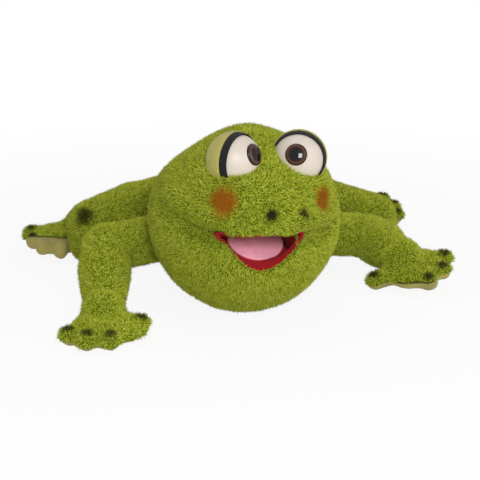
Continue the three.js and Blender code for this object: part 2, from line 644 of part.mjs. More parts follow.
// Two stuffed tubes and a paw, hinged to the torso's side at a root point
function buildLimb(frog, names, root, normal, side, pose, sizes, limits) {
  const limb = frame(frog, names.limb, new THREE.Matrix4());
  const upright = new THREE.Vector3(0, 0, 1);
  const first = directionOf(side, pose.first, pose.firstRise);
  const middle = root.clone().addScaledVector(first, sizes.firstLength);
  const endHeight = pawHeight(sizes.paw, side, pose.pawRoll);
  const fall = THREE.MathUtils.radToDeg(Math.asin((endHeight - middle.z) / sizes.secondLength));
  const second = directionOf(side, pose.second, fall);
  const end = middle.clone().addScaledVector(second, sizes.secondLength);

  const upper = limbFrame(limb, names.first, root, first, upright);
  const blocks = limits.root.map((turn) => within(upper, innerBlock(root, normal, -rad(turn))));
  const heads = [0, ...limits.root].map((turn) => within(upper, headAtSwing(root, turn)));
  const upperForm = segmentForm(sizes.firstLength, sizes.rootRadius, sizes.firstRadius, sizes.middleRadius);
  piece(upper, names.first, cut(upperForm, ...blocks, ...heads), cloth(FUR));

  const axis = first.clone().cross(second).normalize();
  const lower = limbFrame(limb, names.second, middle, second, axis);
  const back = first.clone().negate();
  const sweep = sweptTube(middle, back, axis, limits.middle, sizes.middleRadius, sizes.firstRadius);
  const room = within(lower, sweep);
  const cup = within(lower, roundRoom(middle, sizes.middleRadius));
  const startRadius = Math.min(sizes.secondRadius, sizes.middleRadius) * 0.8;
  const lowerForm = segmentForm(sizes.secondLength, startRadius, sizes.secondRadius, sizes.endRadius);
  piece(lower, names.second, cut(lowerForm, cup, room, within(lower, underFloor)), cloth(FUR));

  const behind = second.clone().negate();
  const ends = [sizes.endRadius, sizes.secondRadius];
  buildPaw(limb, names.paw, sizes.paw, end, pose.paw, pose.pawRoll, side, behind, ...ends);
}

// Point on the torso's side, and the way its cloth faces there
function sidePoint(side, y, z) {
  const profile = torsoProfile();
  const after = profile.findIndex((point) => point.y >= y);
  const [a, b] = [profile[after - 1], profile[after]];
  const slope = (b.x - a.x) / (b.y - a.y);
  const width = a.x + slope * (y - a.y);
  const normal = new THREE.Vector3(side, -slope, 0).normalize();
  const point = new THREE.Vector3(side * width, y, z).addScaledVector(normal, SEAM_GAP);
  return { point, normal };
}

function buildArm(frog, pose) {
  const name = pose.side < 0 ? 'right' : 'left';
  const { point, normal } = sidePoint(pose.side, -SHOULDER_FORWARD, SHOULDER_HEIGHT);
  const names = {
    limb: `${name}_arm`, first: `${name}_upper_arm`, second: `${name}_forearm`, paw: `${name}_hand`,
  };
  const sizes = {
    firstLength: UPPER_ARM_LENGTH, rootRadius: UPPER_ARM_RADIUS, firstRadius: UPPER_ARM_RADIUS,
    middleRadius: ELBOW_RADIUS, secondLength: FOREARM_LENGTH, secondRadius: FOREARM_RADIUS,
    endRadius: WRIST_RADIUS, paw: HAND,
  };
  const rest = {
    first: pose.upperArm, firstRise: pose.upperArmRise, second: pose.forearm,
    paw: pose.hand, pawRoll: pose.handRoll,
  };
  const limits = { root: pose.shoulderSwing, middle: pose.elbowSwing };
  buildLimb(frog, names, point, normal, pose.side, rest, sizes, limits);
}

function buildLeg(frog, pose) {
  const name = pose.side < 0 ? 'right' : 'left';
  const { point, normal } = sidePoint(pose.side, HIP_BACK, HIP_HEIGHT);
  const names = { limb: `${name}_leg`, first: `${name}_thigh`, second: `${name}_shin`, paw: `${name}_foot` };
  const sizes = {
    firstLength: THIGH_LENGTH, rootRadius: HIP_RADIUS, firstRadius: THIGH_RADIUS,
    middleRadius: KNEE_RADIUS, secondLength: SHIN_LENGTH, secondRadius: SHIN_RADIUS,
    endRadius: ANKLE_RADIUS, paw: FOOT,
  };
  const rest = {
    first: pose.thigh, firstRise: pose.thighRise, second: pose.shin,
    paw: pose.foot, pawRoll: pose.footRoll,
  };
  const limits = { root: pose.hipSwing, middle: pose.kneeSwing };
  buildLimb(frog, names, point, normal, pose.side, rest, sizes, limits);
}

const frog = new THREE.Group();
frog.name = 'frog_puppet';
buildTorso(frog);
buildNeck(frog);
buildHead(frog);
for (const pose of [RIGHT, LEFT]) {
  buildArm(frog, pose);
  buildLeg(frog, pose);
}

export default frog;
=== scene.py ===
"""Plush frog hand puppet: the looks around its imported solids, in metres and in their frame."""

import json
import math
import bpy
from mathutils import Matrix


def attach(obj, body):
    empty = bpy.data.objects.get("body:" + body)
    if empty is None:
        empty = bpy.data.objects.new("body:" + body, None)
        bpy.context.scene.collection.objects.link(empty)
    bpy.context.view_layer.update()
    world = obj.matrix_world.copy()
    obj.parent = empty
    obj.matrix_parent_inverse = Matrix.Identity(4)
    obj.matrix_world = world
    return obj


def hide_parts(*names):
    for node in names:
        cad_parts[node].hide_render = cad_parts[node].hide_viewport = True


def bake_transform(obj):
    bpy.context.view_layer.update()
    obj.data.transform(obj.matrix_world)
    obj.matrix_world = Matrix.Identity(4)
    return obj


bl_info = {
    "name": "Frog hand puppet",
    "version": (1, 0, 0),
    "blender": (4, 5, 0),
    "location": "View3D > Sidebar > Frog puppet",
    "description": "Builds a plush frog hand puppet around its packed solids",
    "category": "Add Mesh",
}

import bmesh
import bpy
from mathutils import Matrix, Vector, noise

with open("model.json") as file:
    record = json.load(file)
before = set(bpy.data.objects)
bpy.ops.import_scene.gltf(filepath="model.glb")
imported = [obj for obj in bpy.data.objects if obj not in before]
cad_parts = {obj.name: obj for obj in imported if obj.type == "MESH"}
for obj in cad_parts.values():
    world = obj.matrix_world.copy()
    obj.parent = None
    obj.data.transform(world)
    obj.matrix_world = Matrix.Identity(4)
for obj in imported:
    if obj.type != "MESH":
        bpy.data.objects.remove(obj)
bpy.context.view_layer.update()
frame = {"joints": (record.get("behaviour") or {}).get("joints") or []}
JOINTS = {joint["name"]: joint for joint in frame["joints"]}
SIDES = {"right": -1, "left": 1}
UP = Vector((0, 0, 1))
CAMERA_AZIMUTH = math.radians(-8)
CAMERA_ELEVATION = math.radians(17)
CAMERA_DISTANCE = 1.1
PHOTO_PIXELS = 480
PILE_OVER_FLOOR = 0.0002
SKIN_OVER_FLOOR = 0.0006
HEAD_PIXEL = (244, 216)  # where the head's centre falls in the photograph's frame


def linear(code):
    """Linear colour of an sRGB hex value, with full alpha."""
    parts = [int(code[i : i + 2], 16) / 255 for i in (1, 3, 5)]
    return [c / 12.92 if c <= 0.04045 else ((c + 0.055) / 1.055) ** 2.4 for c in parts] + [1.0]


def length(name, description, default):
    return bpy.props.FloatProperty(
        name=name, description=description, default=default, unit="LENGTH", precision=4
    )


def turn(name, description, degrees):
    return bpy.props.FloatProperty(
        name=name, description=description, default=math.radians(degrees), subtype="ANGLE"
    )


def colour(name, description, code):
    return bpy.props.FloatVectorProperty(
        name=name, description=description, default=linear(code), subtype="COLOR", size=4, min=0, max=1
    )


class FrogSizes(bpy.types.PropertyGroup):
    """Sizes of the puppet that a user would change"""

    head_radius: length("Head radius", "Round of the head with its pile", 0.095)
    snout_reach: length("Snout reach", "Swell of the snout out of the round head", 0.012)
    snout_rise: turn("Snout rise", "Snout's tip over the head's centre", 22)
    snout_turn: turn("Snout turn", "Snout's tip to the frog's right", 10)
    snout_spread: turn("Snout spread", "Angle over which the snout fades", 48)
    eye_bag_reach: length("Eye bag reach", "Swell under each eye", 0.006)
    eye_bag_spread: turn("Eye bag spread", "Angle over which the swell fades", 24)
    temple_dip: length("Temple dip", "Flattening behind each eye", 0.01)
    temple_spread: turn("Temple spread", "Angle over which the dip fades", 40)
    palate_rise: length("Palate rise", "Palate over the head's centre", 0.005)
    mouth_open: turn("Mouth open", "Jaw's slope at rest", 26)
    lip_middle: length("Lip middle", "Middle of the mouth to the frog's left", -0.017)
    lip_rise: length("Lip rise", "Corners of the mouth over the head's centre", 0.0073)
    lip_arch: length("Lip arch", "Rise of the upper lip's middle over its corners", 0.0055)
    lip_slope: turn("Lip slope", "Fall of the lips to the frog's left", 3.3)
    lip_width: length("Lip width", "Between the corners of the mouth", 0.079)
    lip_drop: length("Lip drop", "Depth of the open mouth under its corners", 0.0355)
    tongue_width: length("Tongue width", "Across the tongue", 0.055)
    tongue_length: length("Tongue length", "From the hinge to the tip", 0.063)
    tongue_turn: turn("Tongue turn", "Tongue's tip to the frog's right", 13)
    eyeball_radius: length("Eyeball radius", "Round of each white eyeball", 0.0246)
    eye_apart: turn("Eyes apart", "Each eye to its side of the middle", 31)
    eye_up: turn("Eyes up", "Eyes over the head's centre", 48.8)
    eye_skew: turn("Eye skew", "How much higher the right eye sits, and lower the left", 1.5)
    eye_turn_in: turn("Eye turn", "How far the eyes look inwards", 33)
    eye_tilt: turn("Eye tilt", "How far the eyes look up", 20)
    iris_radius: length("Iris radius", "Round of each glossy iris", 0.0104)
    iris_dome: length("Iris dome", "Height of each iris over its seat", 0.0036)
    lid: length("Lid", "Thickness of the lids", 0.002)
    lid_tilt: turn("Lid tilt", "How far the lids lean over the eyes from the top", 20)
    liner_width: length("Liner width", "Black strip along the front of each lid", 0.007)
    pile: length("Pile length", "Length of the plush pile", 0.0038)
    pile_spacing: length("Pile spacing", "Least distance between two tufts", 0.00078)
    skin_inset: length("Skin inset", "Cloth backing under the tips of the pile", 0.0024)
    belly_radius: length("Belly radius", "Half-width of the torso", 0.066)
    sleeve_back: length("Sleeve end", "End of the sleeve behind the belly's centre", 0.092)
    hem_length: length("Hem length", "Width of the hem round the hand opening", 0.009)


class FrogColours(bpy.types.PropertyGroup):
    """Colours of the puppet that a user would change"""

    # Painted shade and painted light: the root colour is darker for the shade among the tufts, and the tip
    # colour lighter for the light on their tips
    fur_shaded_root: colour("Fur root", "Green plush near its backing", "#728618")
    fur_lit_tip: colour("Fur tip", "Green plush at its tips", "#dfe942")
    fur_frost: colour("Fur frost", "Bleached fibres among the green ones", "#ecea90")
    # Painted shade at the pale pile's roots and painted light at its tips, as for the green pile
    pale_shaded_root: colour("Pale root", "Pale belly plush near its backing", "#8c9a44")
    pale_lit_tip: colour("Pale tip", "Pale belly plush at its tips", "#ccd084")
    blush: colour("Blush", "Airbrushed cheeks", "#ab560f")
    spray: colour("Spray", "Airbrushed nostrils, knees and fingers", "#27220f")
    lid: colour("Lid", "Velour of the eyelids", "#b8b05e")
    lining: colour("Mouth felt", "Felt inside the mouth", "#a8101c")
    tongue: colour("Tongue felt", "Felt of the tongue", "#fbb0c4")
    sole: colour("Sole suede", "Suede cloth of the soles", "#a39850")
    cotton: colour("Cotton", "Cotton of the sleeve lining, hem and pockets", "#5d6b2a")
    eye_white: colour("Eye white", "Satin white of the eyeballs", "#dacec1")
    iris: colour("Iris", "Brown ring of the irises", "#55301f")


def sizes():
    return bpy.context.scene.frog_sizes


def colours():
    return bpy.context.scene.frog_colours


def add(tree, kind, inputs=(), out=0, **settings):
    """Adds a node with its settings, and a value or a link for each input by name or number, and gives
    one of its outputs."""
    node = tree.nodes.new(kind)
    for name, value in settings.items():
        setattr(node, name, value)
    for key, value in dict(inputs).items():
        if isinstance(value, bpy.types.NodeSocket):
            tree.links.new(value, node.inputs[key])
        else:
            node.inputs[key].default_value = value
    return node.outputs[out] if node.outputs else None


def surface(name, **sockets):
    """A new material's tree and shader, with plain values set on the shader's own sockets."""
    material = bpy.data.materials.new(name)
    material.use_nodes = True
    shader = material.node_tree.nodes["Principled BSDF"]
    for key, value in sockets.items():
        shader.inputs[key.replace("_", " ")].default_value = value
    return material, material.node_tree, shader


def plush(name, root, tip, frost):
    """Knitted polyester plush: fibres painted dark at the backing as painted shade among the tufts, and
    painted light at their tips, with an uneven dye and airbrushed spots that the pieces carry as attributes."""
    material, tree, shader = surface(name, Roughness=0.95, Specular_IOR_Level=0.12)
    pile, tone, blush, spray = (
        add(tree, "ShaderNodeAttribute", out="Fac", attribute_name=part)
        for part in ("pile", "tone", "blush", "spray")
    )
    # Painted shade and painted light: the colour runs from the dark root colour at the backing, standing in
    # for the shade among the tufts, to the light tip colour, standing in for the light on their tips; the
    # bare backing, which has no pile attribute, takes the root's painted shade
    depth = add(tree, "ShaderNodeMath", {0: pile, 1: 0.75}, operation="POWER")
    fibre = add(tree, "ShaderNodeMix", {0: depth, 6: root, 7: tip}, 2, data_type="RGBA")
    shade = add(tree, "ShaderNodeMapRange", {"Value": tone, "To Min": 0.55, "To Max": 1.3})
    dyed = add(tree, "ShaderNodeVectorMath", {0: fibre, "Scale": shade}, operation="SCALE")
    pale = {"Value": tone, "From Min": 0.52, "From Max": 0.85, "To Max": 0.6}
    bleached = add(tree, "ShaderNodeMapRange", pale)
    bleached = add(tree, "ShaderNodeMath", {0: bleached, 1: pile}, operation="MULTIPLY")
    for share, over in ((bleached, frost), (blush, colours().blush), (spray, colours().spray)):
        dyed = add(tree, "ShaderNodeMix", {0: share, 6: dyed, 7: over}, 2, data_type="RGBA")
    tree.links.new(dyed, shader.inputs["Base Color"])
    return material


def matted(name, code, fibre_mm, contrast, bump_mm, roughness, sheen=0.2, rim=None):
    """Felt, velour or suede: pressed fibres that fleck the colour and roughen the face, with a darker
    rim where a piece carries one as an attribute."""
    material, tree, shader = surface(name, Roughness=roughness, Sheen_Weight=sheen, Sheen_Roughness=0.5)
    place = add(tree, "ShaderNodeTexCoord", out="Object")
    fine = {"Vector": place, "Scale": 1000 / fibre_mm, "Detail": 4.0, "Roughness": 0.7}
    grain = add(tree, "ShaderNodeTexNoise", fine)
    cloud = add(tree, "ShaderNodeTexNoise", {"Vector": place, "Scale": 1000 / (fibre_mm * 14), "Detail": 2.0})
    both = add(tree, "ShaderNodeMath", {0: grain, 1: cloud}, operation="ADD")
    flecks = {"Value": both, "From Min": 0.7, "From Max": 1.3, "To Min": 1 - contrast, "To Max": 1 + contrast}
    shade = add(tree, "ShaderNodeMapRange", flecks)
    dyed = add(tree, "ShaderNodeVectorMath", {0: code[:3], "Scale": shade}, operation="SCALE")
    if rim is not None:
        edge = add(tree, "ShaderNodeAttribute", out="Fac", attribute_name="edge")
        dyed = add(tree, "ShaderNodeMix", {0: edge, 6: dyed, 7: rim}, 2, data_type="RGBA")
    tree.links.new(dyed, shader.inputs["Base Color"])
    bump = add(tree, "ShaderNodeBump", {"Height": grain, "Strength": 0.5, "Distance": bump_mm / 1000})
    tree.links.new(bump, shader.inputs["Normal"])
    return material


def woven(name, code, thread_mm):
    """Plain woven cotton: two sets of threads, drawn coarser than real so that they show."""
    material, tree, shader = surface(name, Roughness=0.88, Sheen_Weight=0.1)
    place = add(tree, "ShaderNodeTexCoord", out="Object")
    threads = {"Vector": place, "Scale": 314 / thread_mm, "Distortion": 1.2, "Detail": 1.0}
    x, y, z = (add(tree, "ShaderNodeTexWave", threads, "Fac", bands_direction=way) for way in "XYZ")
    pair = add(tree, "ShaderNodeMath", {0: x, 1: y}, operation="MULTIPLY")
    cloth = add(tree, "ShaderNodeMath", {0: pair, 1: z}, operation="ADD")
    shade = add(tree, "ShaderNodeMapRange", {"Value": cloth, "From Max": 2.0, "To Min": 0.75, "To Max": 1.15})
    dyed = add(tree, "ShaderNodeVectorMath", {0: code[:3], "Scale": shade}, operation="SCALE")
    tree.links.new(dyed, shader.inputs["Base Color"])
    bump = add(tree, "ShaderNodeBump", {"Height": cloth, "Strength": 0.4, "Distance": 0.0003})
    tree.links.new(bump, shader.inputs["Normal"])
    return material


def moulded(name, code, roughness, coat=0.0):
    """Moulded plastic or board: an even colour with faint flow marks in its gloss."""
    material, tree, shader = surface(
        name, Base_Color=code, Roughness=roughness, Coat_Weight=coat, Coat_Roughness=0.05, IOR=1.49
    )
    place = add(tree, "ShaderNodeTexCoord", out="Object")
    marks = add(tree, "ShaderNodeTexNoise", {"Vector": place, "Scale": 160.0, "Detail": 3.0})
    span = {"Value": marks, "To Min": roughness * 0.85, "To Max": roughness * 1.2}
    tree.links.new(add(tree, "ShaderNodeMapRange", span), shader.inputs["Roughness"])
    return material


def glossy_iris(name):
    """Acrylic craft eye: a black pupil, a brown ring and a dark rim under a clear hard gloss."""
    material, tree, shader = surface(name, Roughness=0.06, IOR=1.49, Specular_IOR_Level=0.3)
    reach = add(tree, "ShaderNodeAttribute", out="Fac", attribute_name="reach")
    paint = linear("#0b0807")
    for low, high, over in ((0.6, 0.74, colours().iris), (0.82, 0.98, linear("#1a0d08"))):
        share = add(tree, "ShaderNodeMapRange", {"Value": reach, "From Min": low, "From Max": high})
        paint = add(tree, "ShaderNodeMix", {0: share, 6: paint, 7: over}, 2, data_type="RGBA")
    tree.links.new(paint, shader.inputs["Base Color"])
    return material


_materials = {}


def finish_of(name):
    """The puppet's materials, each made once."""
    if not _materials:
        paint = colours()
        _materials.update(
            fur=plush("green polyester plush", paint.fur_shaded_root, paint.fur_lit_tip, paint.fur_frost),
            belly=plush("pale polyester plush", paint.pale_shaded_root, paint.pale_lit_tip, paint.fur_frost),
            lid=matted("pale green velour", paint.lid, 0.9, 0.16, 0.25, 0.85, 0.1),
            lining=matted("red wool felt", paint.lining, 1.1, 0.22, 0.3, 0.95, 0.0),
            tongue=matted("pink wool felt", paint.tongue, 1.1, 0.16, 0.3, 0.95, 0.0),
            sole=matted("olive suede cloth", paint.sole, 1.3, 0.3, 0.3, 0.85, 0.2, linear("#3f3116")),
            strip=matted("black felt", linear("#090808"), 0.9, 0.2, 0.25, 0.95, 0.0),
            foam=matted("grey upholstery foam", linear("#c9c6b8"), 1.6, 0.12, 0.4, 0.95, 0.0),
            cotton=woven("green woven cotton", paint.cotton, 1.4),
            board=moulded("black fibre board", linear("#2c2c2e"), 0.6),
            eye_white=moulded("white moulded polystyrene", paint.eye_white, 0.38),
            iris=glossy_iris("brown acrylic"),
        )
    return _materials[name]


def spot(joint):
    return Vector(JOINTS[joint]["pos_m"])


def axis(joint):
    return Vector(JOINTS[joint]["axis"]).normalized()


def placed(x, y, z, at):
    """Matrix of a frame with these directions at a point."""
    matrix = Matrix((x, y, z)).transposed().to_4x4()
    matrix.translation = at
    return matrix


def head_frame():
    across = axis("head_nod")
    return placed(across, UP.cross(across), UP, spot("head_nod"))


def jaw_frame():
    across = axis("jaw_open")
    level = placed(across, UP.cross(across), UP, spot("jaw_open"))
    return level @ Matrix.Rotation(sizes().mouth_open, 4, "X")


def direction(side, aside, rise):
    """Direction so far to a side from straight ahead, and so far up from level."""
    level = math.cos(rise)
    return Vector((side * level * math.sin(aside), -level * math.cos(aside), math.sin(rise)))


def fade(way, middle, spread):
    """Share of a swell or dip left at a direction."""
    away = way.angle(middle) / spread
    return max(0.0, 1 - away * away) ** 2


def smooth_step(low, high, value):
    share = min(1.0, max(0.0, (value - low) / (high - low)))
    return share * share * (3 - 2 * share)


def to_object(bm, name, material, matrix=None, smooth=True):
    """A new object at the origin whose mesh is in the shared frame."""
    if matrix is not None:
        bm.transform(matrix)
    for face in bm.faces:
        face.smooth = smooth
    mesh = bpy.data.meshes.new(name)
    bm.to_mesh(mesh)
    bm.free()
    mesh.materials.append(material)
    piece = bpy.data.objects.new(name, mesh)
    bpy.context.scene.collection.objects.link(piece)
    return piece


def apply_modifiers(piece):
    """Bakes a piece's modifiers into its mesh."""
    bpy.context.view_layer.update()
    graph = bpy.context.evaluated_depsgraph_get()
    made = bpy.data.meshes.new_from_object(
        piece.evaluated_get(graph), preserve_all_data_layers=True, depsgraph=graph
    )
    piece.modifiers.clear()
    piece.data = made


def thicken(piece, name, thickness, offset=-1.0, edge=0.0, segments=2):
    """Gives a piece a wall, with rounded edges where asked, and bakes both."""
    wall = piece.modifiers.new(name, "SOLIDIFY")
    wall.thickness = thickness
    wall.offset = offset
    if edge:
        rounded = piece.modifiers.new("edge", "BEVEL")
        rounded.width = edge
        rounded.segments = segments
        rounded.limit_method = "ANGLE"
    apply_modifiers(piece)


def hang(piece, slot, *nodes, body=None):
    """Puts a piece in the place of its solids, which it hides, and on a body where one is given."""
    if body:
        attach(piece, body)
    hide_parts(*nodes)


def face_out(bm):
    bmesh.ops.recalc_face_normals(bm, faces=bm.faces[:])


def slice_off(bm, at, out):
    """Takes away what lies beyond a plane."""
    parts = bm.verts[:] + bm.edges[:] + bm.faces[:]
    bmesh.ops.bisect_plane(bm, geom=parts, dist=1e-6, plane_co=at, plane_no=out, clear_outer=True)


def cut_through(bm, faces, at, out):
    """Cuts some faces along a plane, and gives the points and edges of the cut."""
    parts = set(faces)
    for face in faces:
        parts.update(face.edges)
        parts.update(face.verts)
    return bmesh.ops.bisect_plane(bm, geom=list(parts), dist=1e-6, plane_co=at, plane_no=out)["geom_cut"]


def open_edges(bm):
    return [edge for edge in bm.edges if edge.is_boundary]


def close_holes(bm):
    return bmesh.ops.holes_fill(bm, edges=open_edges(bm), sides=0)["faces"]


def extend(bm, edges):
    """Extrudes open edges, and gives the new points and edges. The new faces come in a chance order, so
    they are set in that of the edges, for each run to grow the same pile."""
    old = set(bm.faces)
    made = bmesh.ops.extrude_edge_only(bm, edges=edges)["geom"]
    order = {face: number for number, face in enumerate(bm.faces)}
    faces = [face for edge in edges for face in edge.link_faces if face not in old]
    order.update(zip(faces, sorted(order[face] for face in faces)))
    bm.faces.sort(key=order.get)
    verts = [part for part in made if isinstance(part, bmesh.types.BMVert)]
    new = set(verts)
    return verts, [part for part in made if isinstance(part, bmesh.types.BMEdge) and set(part.verts) <= new]


SORT_WAY = Vector((0.61, 0.28, 0.74))  # no two faces of a spun skin lie equally far along it


def revolve(bm, about, steps):
    """Spins a profile once round into a closed skin, with its faces in an order that each run repeats."""
    bmesh.ops.spin(
        bm,
        geom=bm.verts[:] + bm.edges[:],
        cent=(0, 0, 0),
        axis=about,
        angle=2 * math.pi,
        steps=steps,
        use_merge=True,
    )
    bmesh.ops.remove_doubles(bm, verts=bm.verts[:], dist=1e-6)
    close_holes(bm)
    face_out(bm)
    bm.faces.sort(key=lambda face: face.calc_center_median().dot(SORT_WAY))


def soften(bm, verts, times):
    for _ in range(times):
        bmesh.ops.smooth_vert(
            bm, verts=verts, factor=0.5, use_axis_x=True, use_axis_y=True, use_axis_z=True
        )


def skin_area(bm):
    return sum(face.calc_area() for face in bm.faces)


def coat_layers(bm, share=1.0):
    """Layers that carry the pile's length and the airbrushed spots on a skin."""
    layers = [bm.verts.layers.float.new(name) for name in ("pile_share", "blush", "spray")]
    for vert in bm.verts:
        vert[layers[0]] = share
    return layers


def airbrush(bm, layer, centre, radius, strength=1.0):
    """A soft round of paint on a skin, with a ragged edge."""
    for vert in bm.verts:
        ragged = 1 + 0.3 * noise.noise(vert.co * 130)
        away = (vert.co - centre).length / (radius * ragged)
        paint = strength * (1 - smooth_step(0.45, 1.1, away))
        vert[layer] = max(vert[layer], paint)


def grow_pile(piece, material, comb, seed, share=1.0):
    """Stands tufts of fibre on a skin, combed one way and leaning together in small clumps."""
    size = sizes()
    tall = size.pile * share
    tree = bpy.data.node_groups.new(piece.name + "_pile", "GeometryNodeTree")
    tree.interface.new_socket("Geometry", in_out="INPUT", socket_type="NodeSocketGeometry")
    tree.interface.new_socket("Geometry", in_out="OUTPUT", socket_type="NodeSocketGeometry")
    skin = add(tree, "NodeGroupInput")
    named = {"Name": "pile_share"}
    pile_share = add(tree, "GeometryNodeInputNamedAttribute", named, "Attribute", data_type="FLOAT")
    furred = add(tree, "ShaderNodeMath", {0: pile_share, 1: 0.2}, operation="GREATER_THAN")
    points = add(
        tree,
        "GeometryNodeDistributePointsOnFaces",
        {
            "Mesh": skin,
            "Selection": furred,
            "Distance Min": size.pile_spacing,
            "Density Max": 1.5 / size.pile_spacing**2,
            "Seed": seed,
        },
        distribute_method="POISSON",
    )
    normal = points.node.outputs["Normal"]
    place = add(tree, "GeometryNodeInputPosition")

    cone = {"Vertices": 3, "Side Segments": 1, "Radius Top": 0.0, "Radius Bottom": tall * 0.15, "Depth": tall}
    tuft = add(tree, "GeometryNodeMeshCone", cone, fill_type="NONE")
    own_height = add(tree, "ShaderNodeSeparateXYZ", {0: place}, "Z")
    height = add(tree, "ShaderNodeMath", {0: own_height, 1: tall}, operation="DIVIDE")
    # The height along each tuft, stored as the pile attribute, from which the plush paints shade at the root
    # and light at the tip
    graded = {"Geometry": tuft, "Name": "pile", "Value": height}
    tuft = add(tree, "GeometryNodeStoreNamedAttribute", graded, data_type="FLOAT")
    tuft = add(tree, "GeometryNodeSetShadeSmooth", {"Geometry": tuft})

    # The comb's direction along the cloth, a swirl for each clump and a stray of each tuft's own
    rise = add(tree, "ShaderNodeVectorMath", {0: normal, 1: comb}, "Value", operation="DOT_PRODUCT")
    lift = add(tree, "ShaderNodeVectorMath", {0: normal, "Scale": rise}, operation="SCALE")
    along = add(tree, "ShaderNodeVectorMath", {0: comb, 1: lift}, operation="SUBTRACT")
    swirl = add(tree, "ShaderNodeTexNoise", {"Vector": place, "Scale": 170.0, "Detail": 2.0}, "Color")
    swirl = add(tree, "ShaderNodeVectorMath", {0: swirl, 1: (0.5, 0.5, 0.5)}, operation="SUBTRACT")
    swirl = add(tree, "ShaderNodeVectorMath", {0: swirl, "Scale": 3.0}, operation="SCALE")
    span = {0: (-0.7, -0.7, -0.7), 1: (0.7, 0.7, 0.7), "Seed": seed + 1}
    stray = add(tree, "FunctionNodeRandomValue", span, data_type="FLOAT_VECTOR")
    lean = add(tree, "ShaderNodeVectorMath", {0: along, "Scale": 0.3}, operation="SCALE")
    for part in (normal, swirl, stray):
        lean = add(tree, "ShaderNodeVectorMath", {0: lean, 1: part}, operation="ADD")
    stand = add(tree, "FunctionNodeAlignRotationToVector", {"Vector": lean}, axis="Z")

    grown = add(tree, "FunctionNodeRandomValue", {2: 0.7, 3: 1.25, "Seed": seed + 2}, 1, data_type="FLOAT")
    grown = add(tree, "ShaderNodeMath", {0: grown, 1: pile_share}, operation="MULTIPLY")
    stood = {"Points": points, "Instance": tuft, "Rotation": stand, "Scale": grown}
    tufts = add(tree, "GeometryNodeInstanceOnPoints", stood)
    cloud = add(tree, "ShaderNodeTexNoise", {"Vector": place, "Scale": 95.0, "Detail": 3.0})
    chance = add(tree, "FunctionNodeRandomValue", {2: 0.0, 3: 1.0, "Seed": seed + 3}, 1, data_type="FLOAT")
    tone = add(tree, "ShaderNodeMix", {0: 0.66, 2: cloud, 3: chance}, data_type="FLOAT")
    toned = {"Geometry": tufts, "Name": "tone", "Value": tone}
    tufts = add(tree, "GeometryNodeStoreNamedAttribute", toned, data_type="FLOAT", domain="INSTANCE")
    tufts = add(tree, "GeometryNodeRealizeInstances", {"Geometry": tufts})
    both = add(tree, "GeometryNodeJoinGeometry", {0: tufts})
    tree.links.new(skin, both.node.inputs[0])
    clothed = add(tree, "GeometryNodeSetMaterial", {"Geometry": both, "Material": material})
    add(tree, "NodeGroupOutput", {"Geometry": clothed})
    modifier = piece.modifiers.new("pile", "NODES")
    modifier.node_group = tree
    apply_modifiers(piece)
    keep_over_floor(piece.data.vertices)


def keep_over_floor(verts, height=PILE_OVER_FLOOR):
    """Presses what would reach under the floor flat on it."""
    for vert in verts:
        vert.co.z = max(vert.co.z, height)


def ease_at_floor(bm, layer):
    """Shortens the pile where the cloth lies on the floor."""
    for vert in bm.verts:
        vert[layer] *= 0.3 + 0.7 * smooth_step(0.0, 0.009, vert.co.z)


def wrinkle(bm, amount, span, seed):
    """Soft lumps of the filling under the cloth."""
    bm.normal_update()
    for vert in bm.verts:
        vert.co += vert.normal * amount * noise.noise(vert.co / span + Vector((seed, 0, 0)))


def head_form(inset, subdivisions):
    """The round head with its snout, eye bags and temples, about the head's centre."""
    size = sizes()
    bm = bmesh.new()
    bmesh.ops.create_icosphere(bm, subdivisions=subdivisions, radius=size.head_radius - inset)
    tip = direction(-1, size.snout_turn, size.snout_rise)
    bags = [Vector((0.5 * side, -0.66, 0.56)) for side in SIDES.values()]
    temples = [Vector((0.38 * side, 0.42, 0.82)) for side in SIDES.values()]
    for vert in bm.verts:
        out = vert.co.normalized()
        vert.co += tip * size.snout_reach * fade(out, tip, size.snout_spread)
        for bag in bags:
            vert.co += bag * size.eye_bag_reach * fade(out, bag, size.eye_bag_spread)
        for temple in temples:
            vert.co -= out * size.temple_dip * fade(out, temple, size.temple_spread)
    return bm


LIP_STEPS = 10
ARCH_STEPS = 4
MOUTH_MARGIN = 0.012


def mouth_planes(grow):
    """Planes along the head's front that bound the mouth: a bowl, then the flat arch of the upper lip."""
    size = sizes()
    half = size.lip_width / 2 + grow
    drop = size.lip_drop + grow
    top = Vector((size.lip_middle, 0, size.lip_rise + grow * 0.5))
    slope = Matrix.Rotation(size.lip_slope, 3, "Y")
    rim = []
    for steps, way, rise in ((LIP_STEPS, 1, -drop), (ARCH_STEPS, -1, size.lip_arch)):
        for step in range(steps):
            across = way * (2 * step / steps - 1)
            rim.append(top + slope @ Vector((half * across, 0, rise * (1 - across * across))))
    planes = []
    for a, b in zip(rim, rim[1:] + rim[:1]):
        planes.append((a, Vector((b.z - a.z, 0, a.x - b.x)).normalized()))
    return planes


def faces_within(bm, planes, margin):
    """Faces at the front of a head form that lie within the mouth's outline or this near to it."""
    found = []
    for face in bm.faces:
        middle = face.calc_center_median()
        if middle.y < 0 and all((middle - at).dot(out) < margin for at, out in planes):
            found.append(face)
    return found


def open_mouth(bm, grow=0.0):
    """Cuts the mouth's outline into the front of a head form and takes out what lies within."""
    planes = mouth_planes(grow)
    for at, out in planes:
        cut_through(bm, faces_within(bm, planes, MOUTH_MARGIN), at, out)
    bmesh.ops.delete(bm, geom=faces_within(bm, planes, 0.0), context="FACES")


NECK_TILT = math.radians(24)
NECK_WAY = Vector((0, math.cos(NECK_TILT), -math.sin(NECK_TILT)))  # from the head's centre down the neck
NECK_HALF_ANGLE = math.radians(26)
NECK_TURN = 0.012  # cloth turned in round the opening


def neck_direction():
    """The neck's direction in the head's frame."""
    return head_frame().to_3x3().inverted() @ NECK_WAY


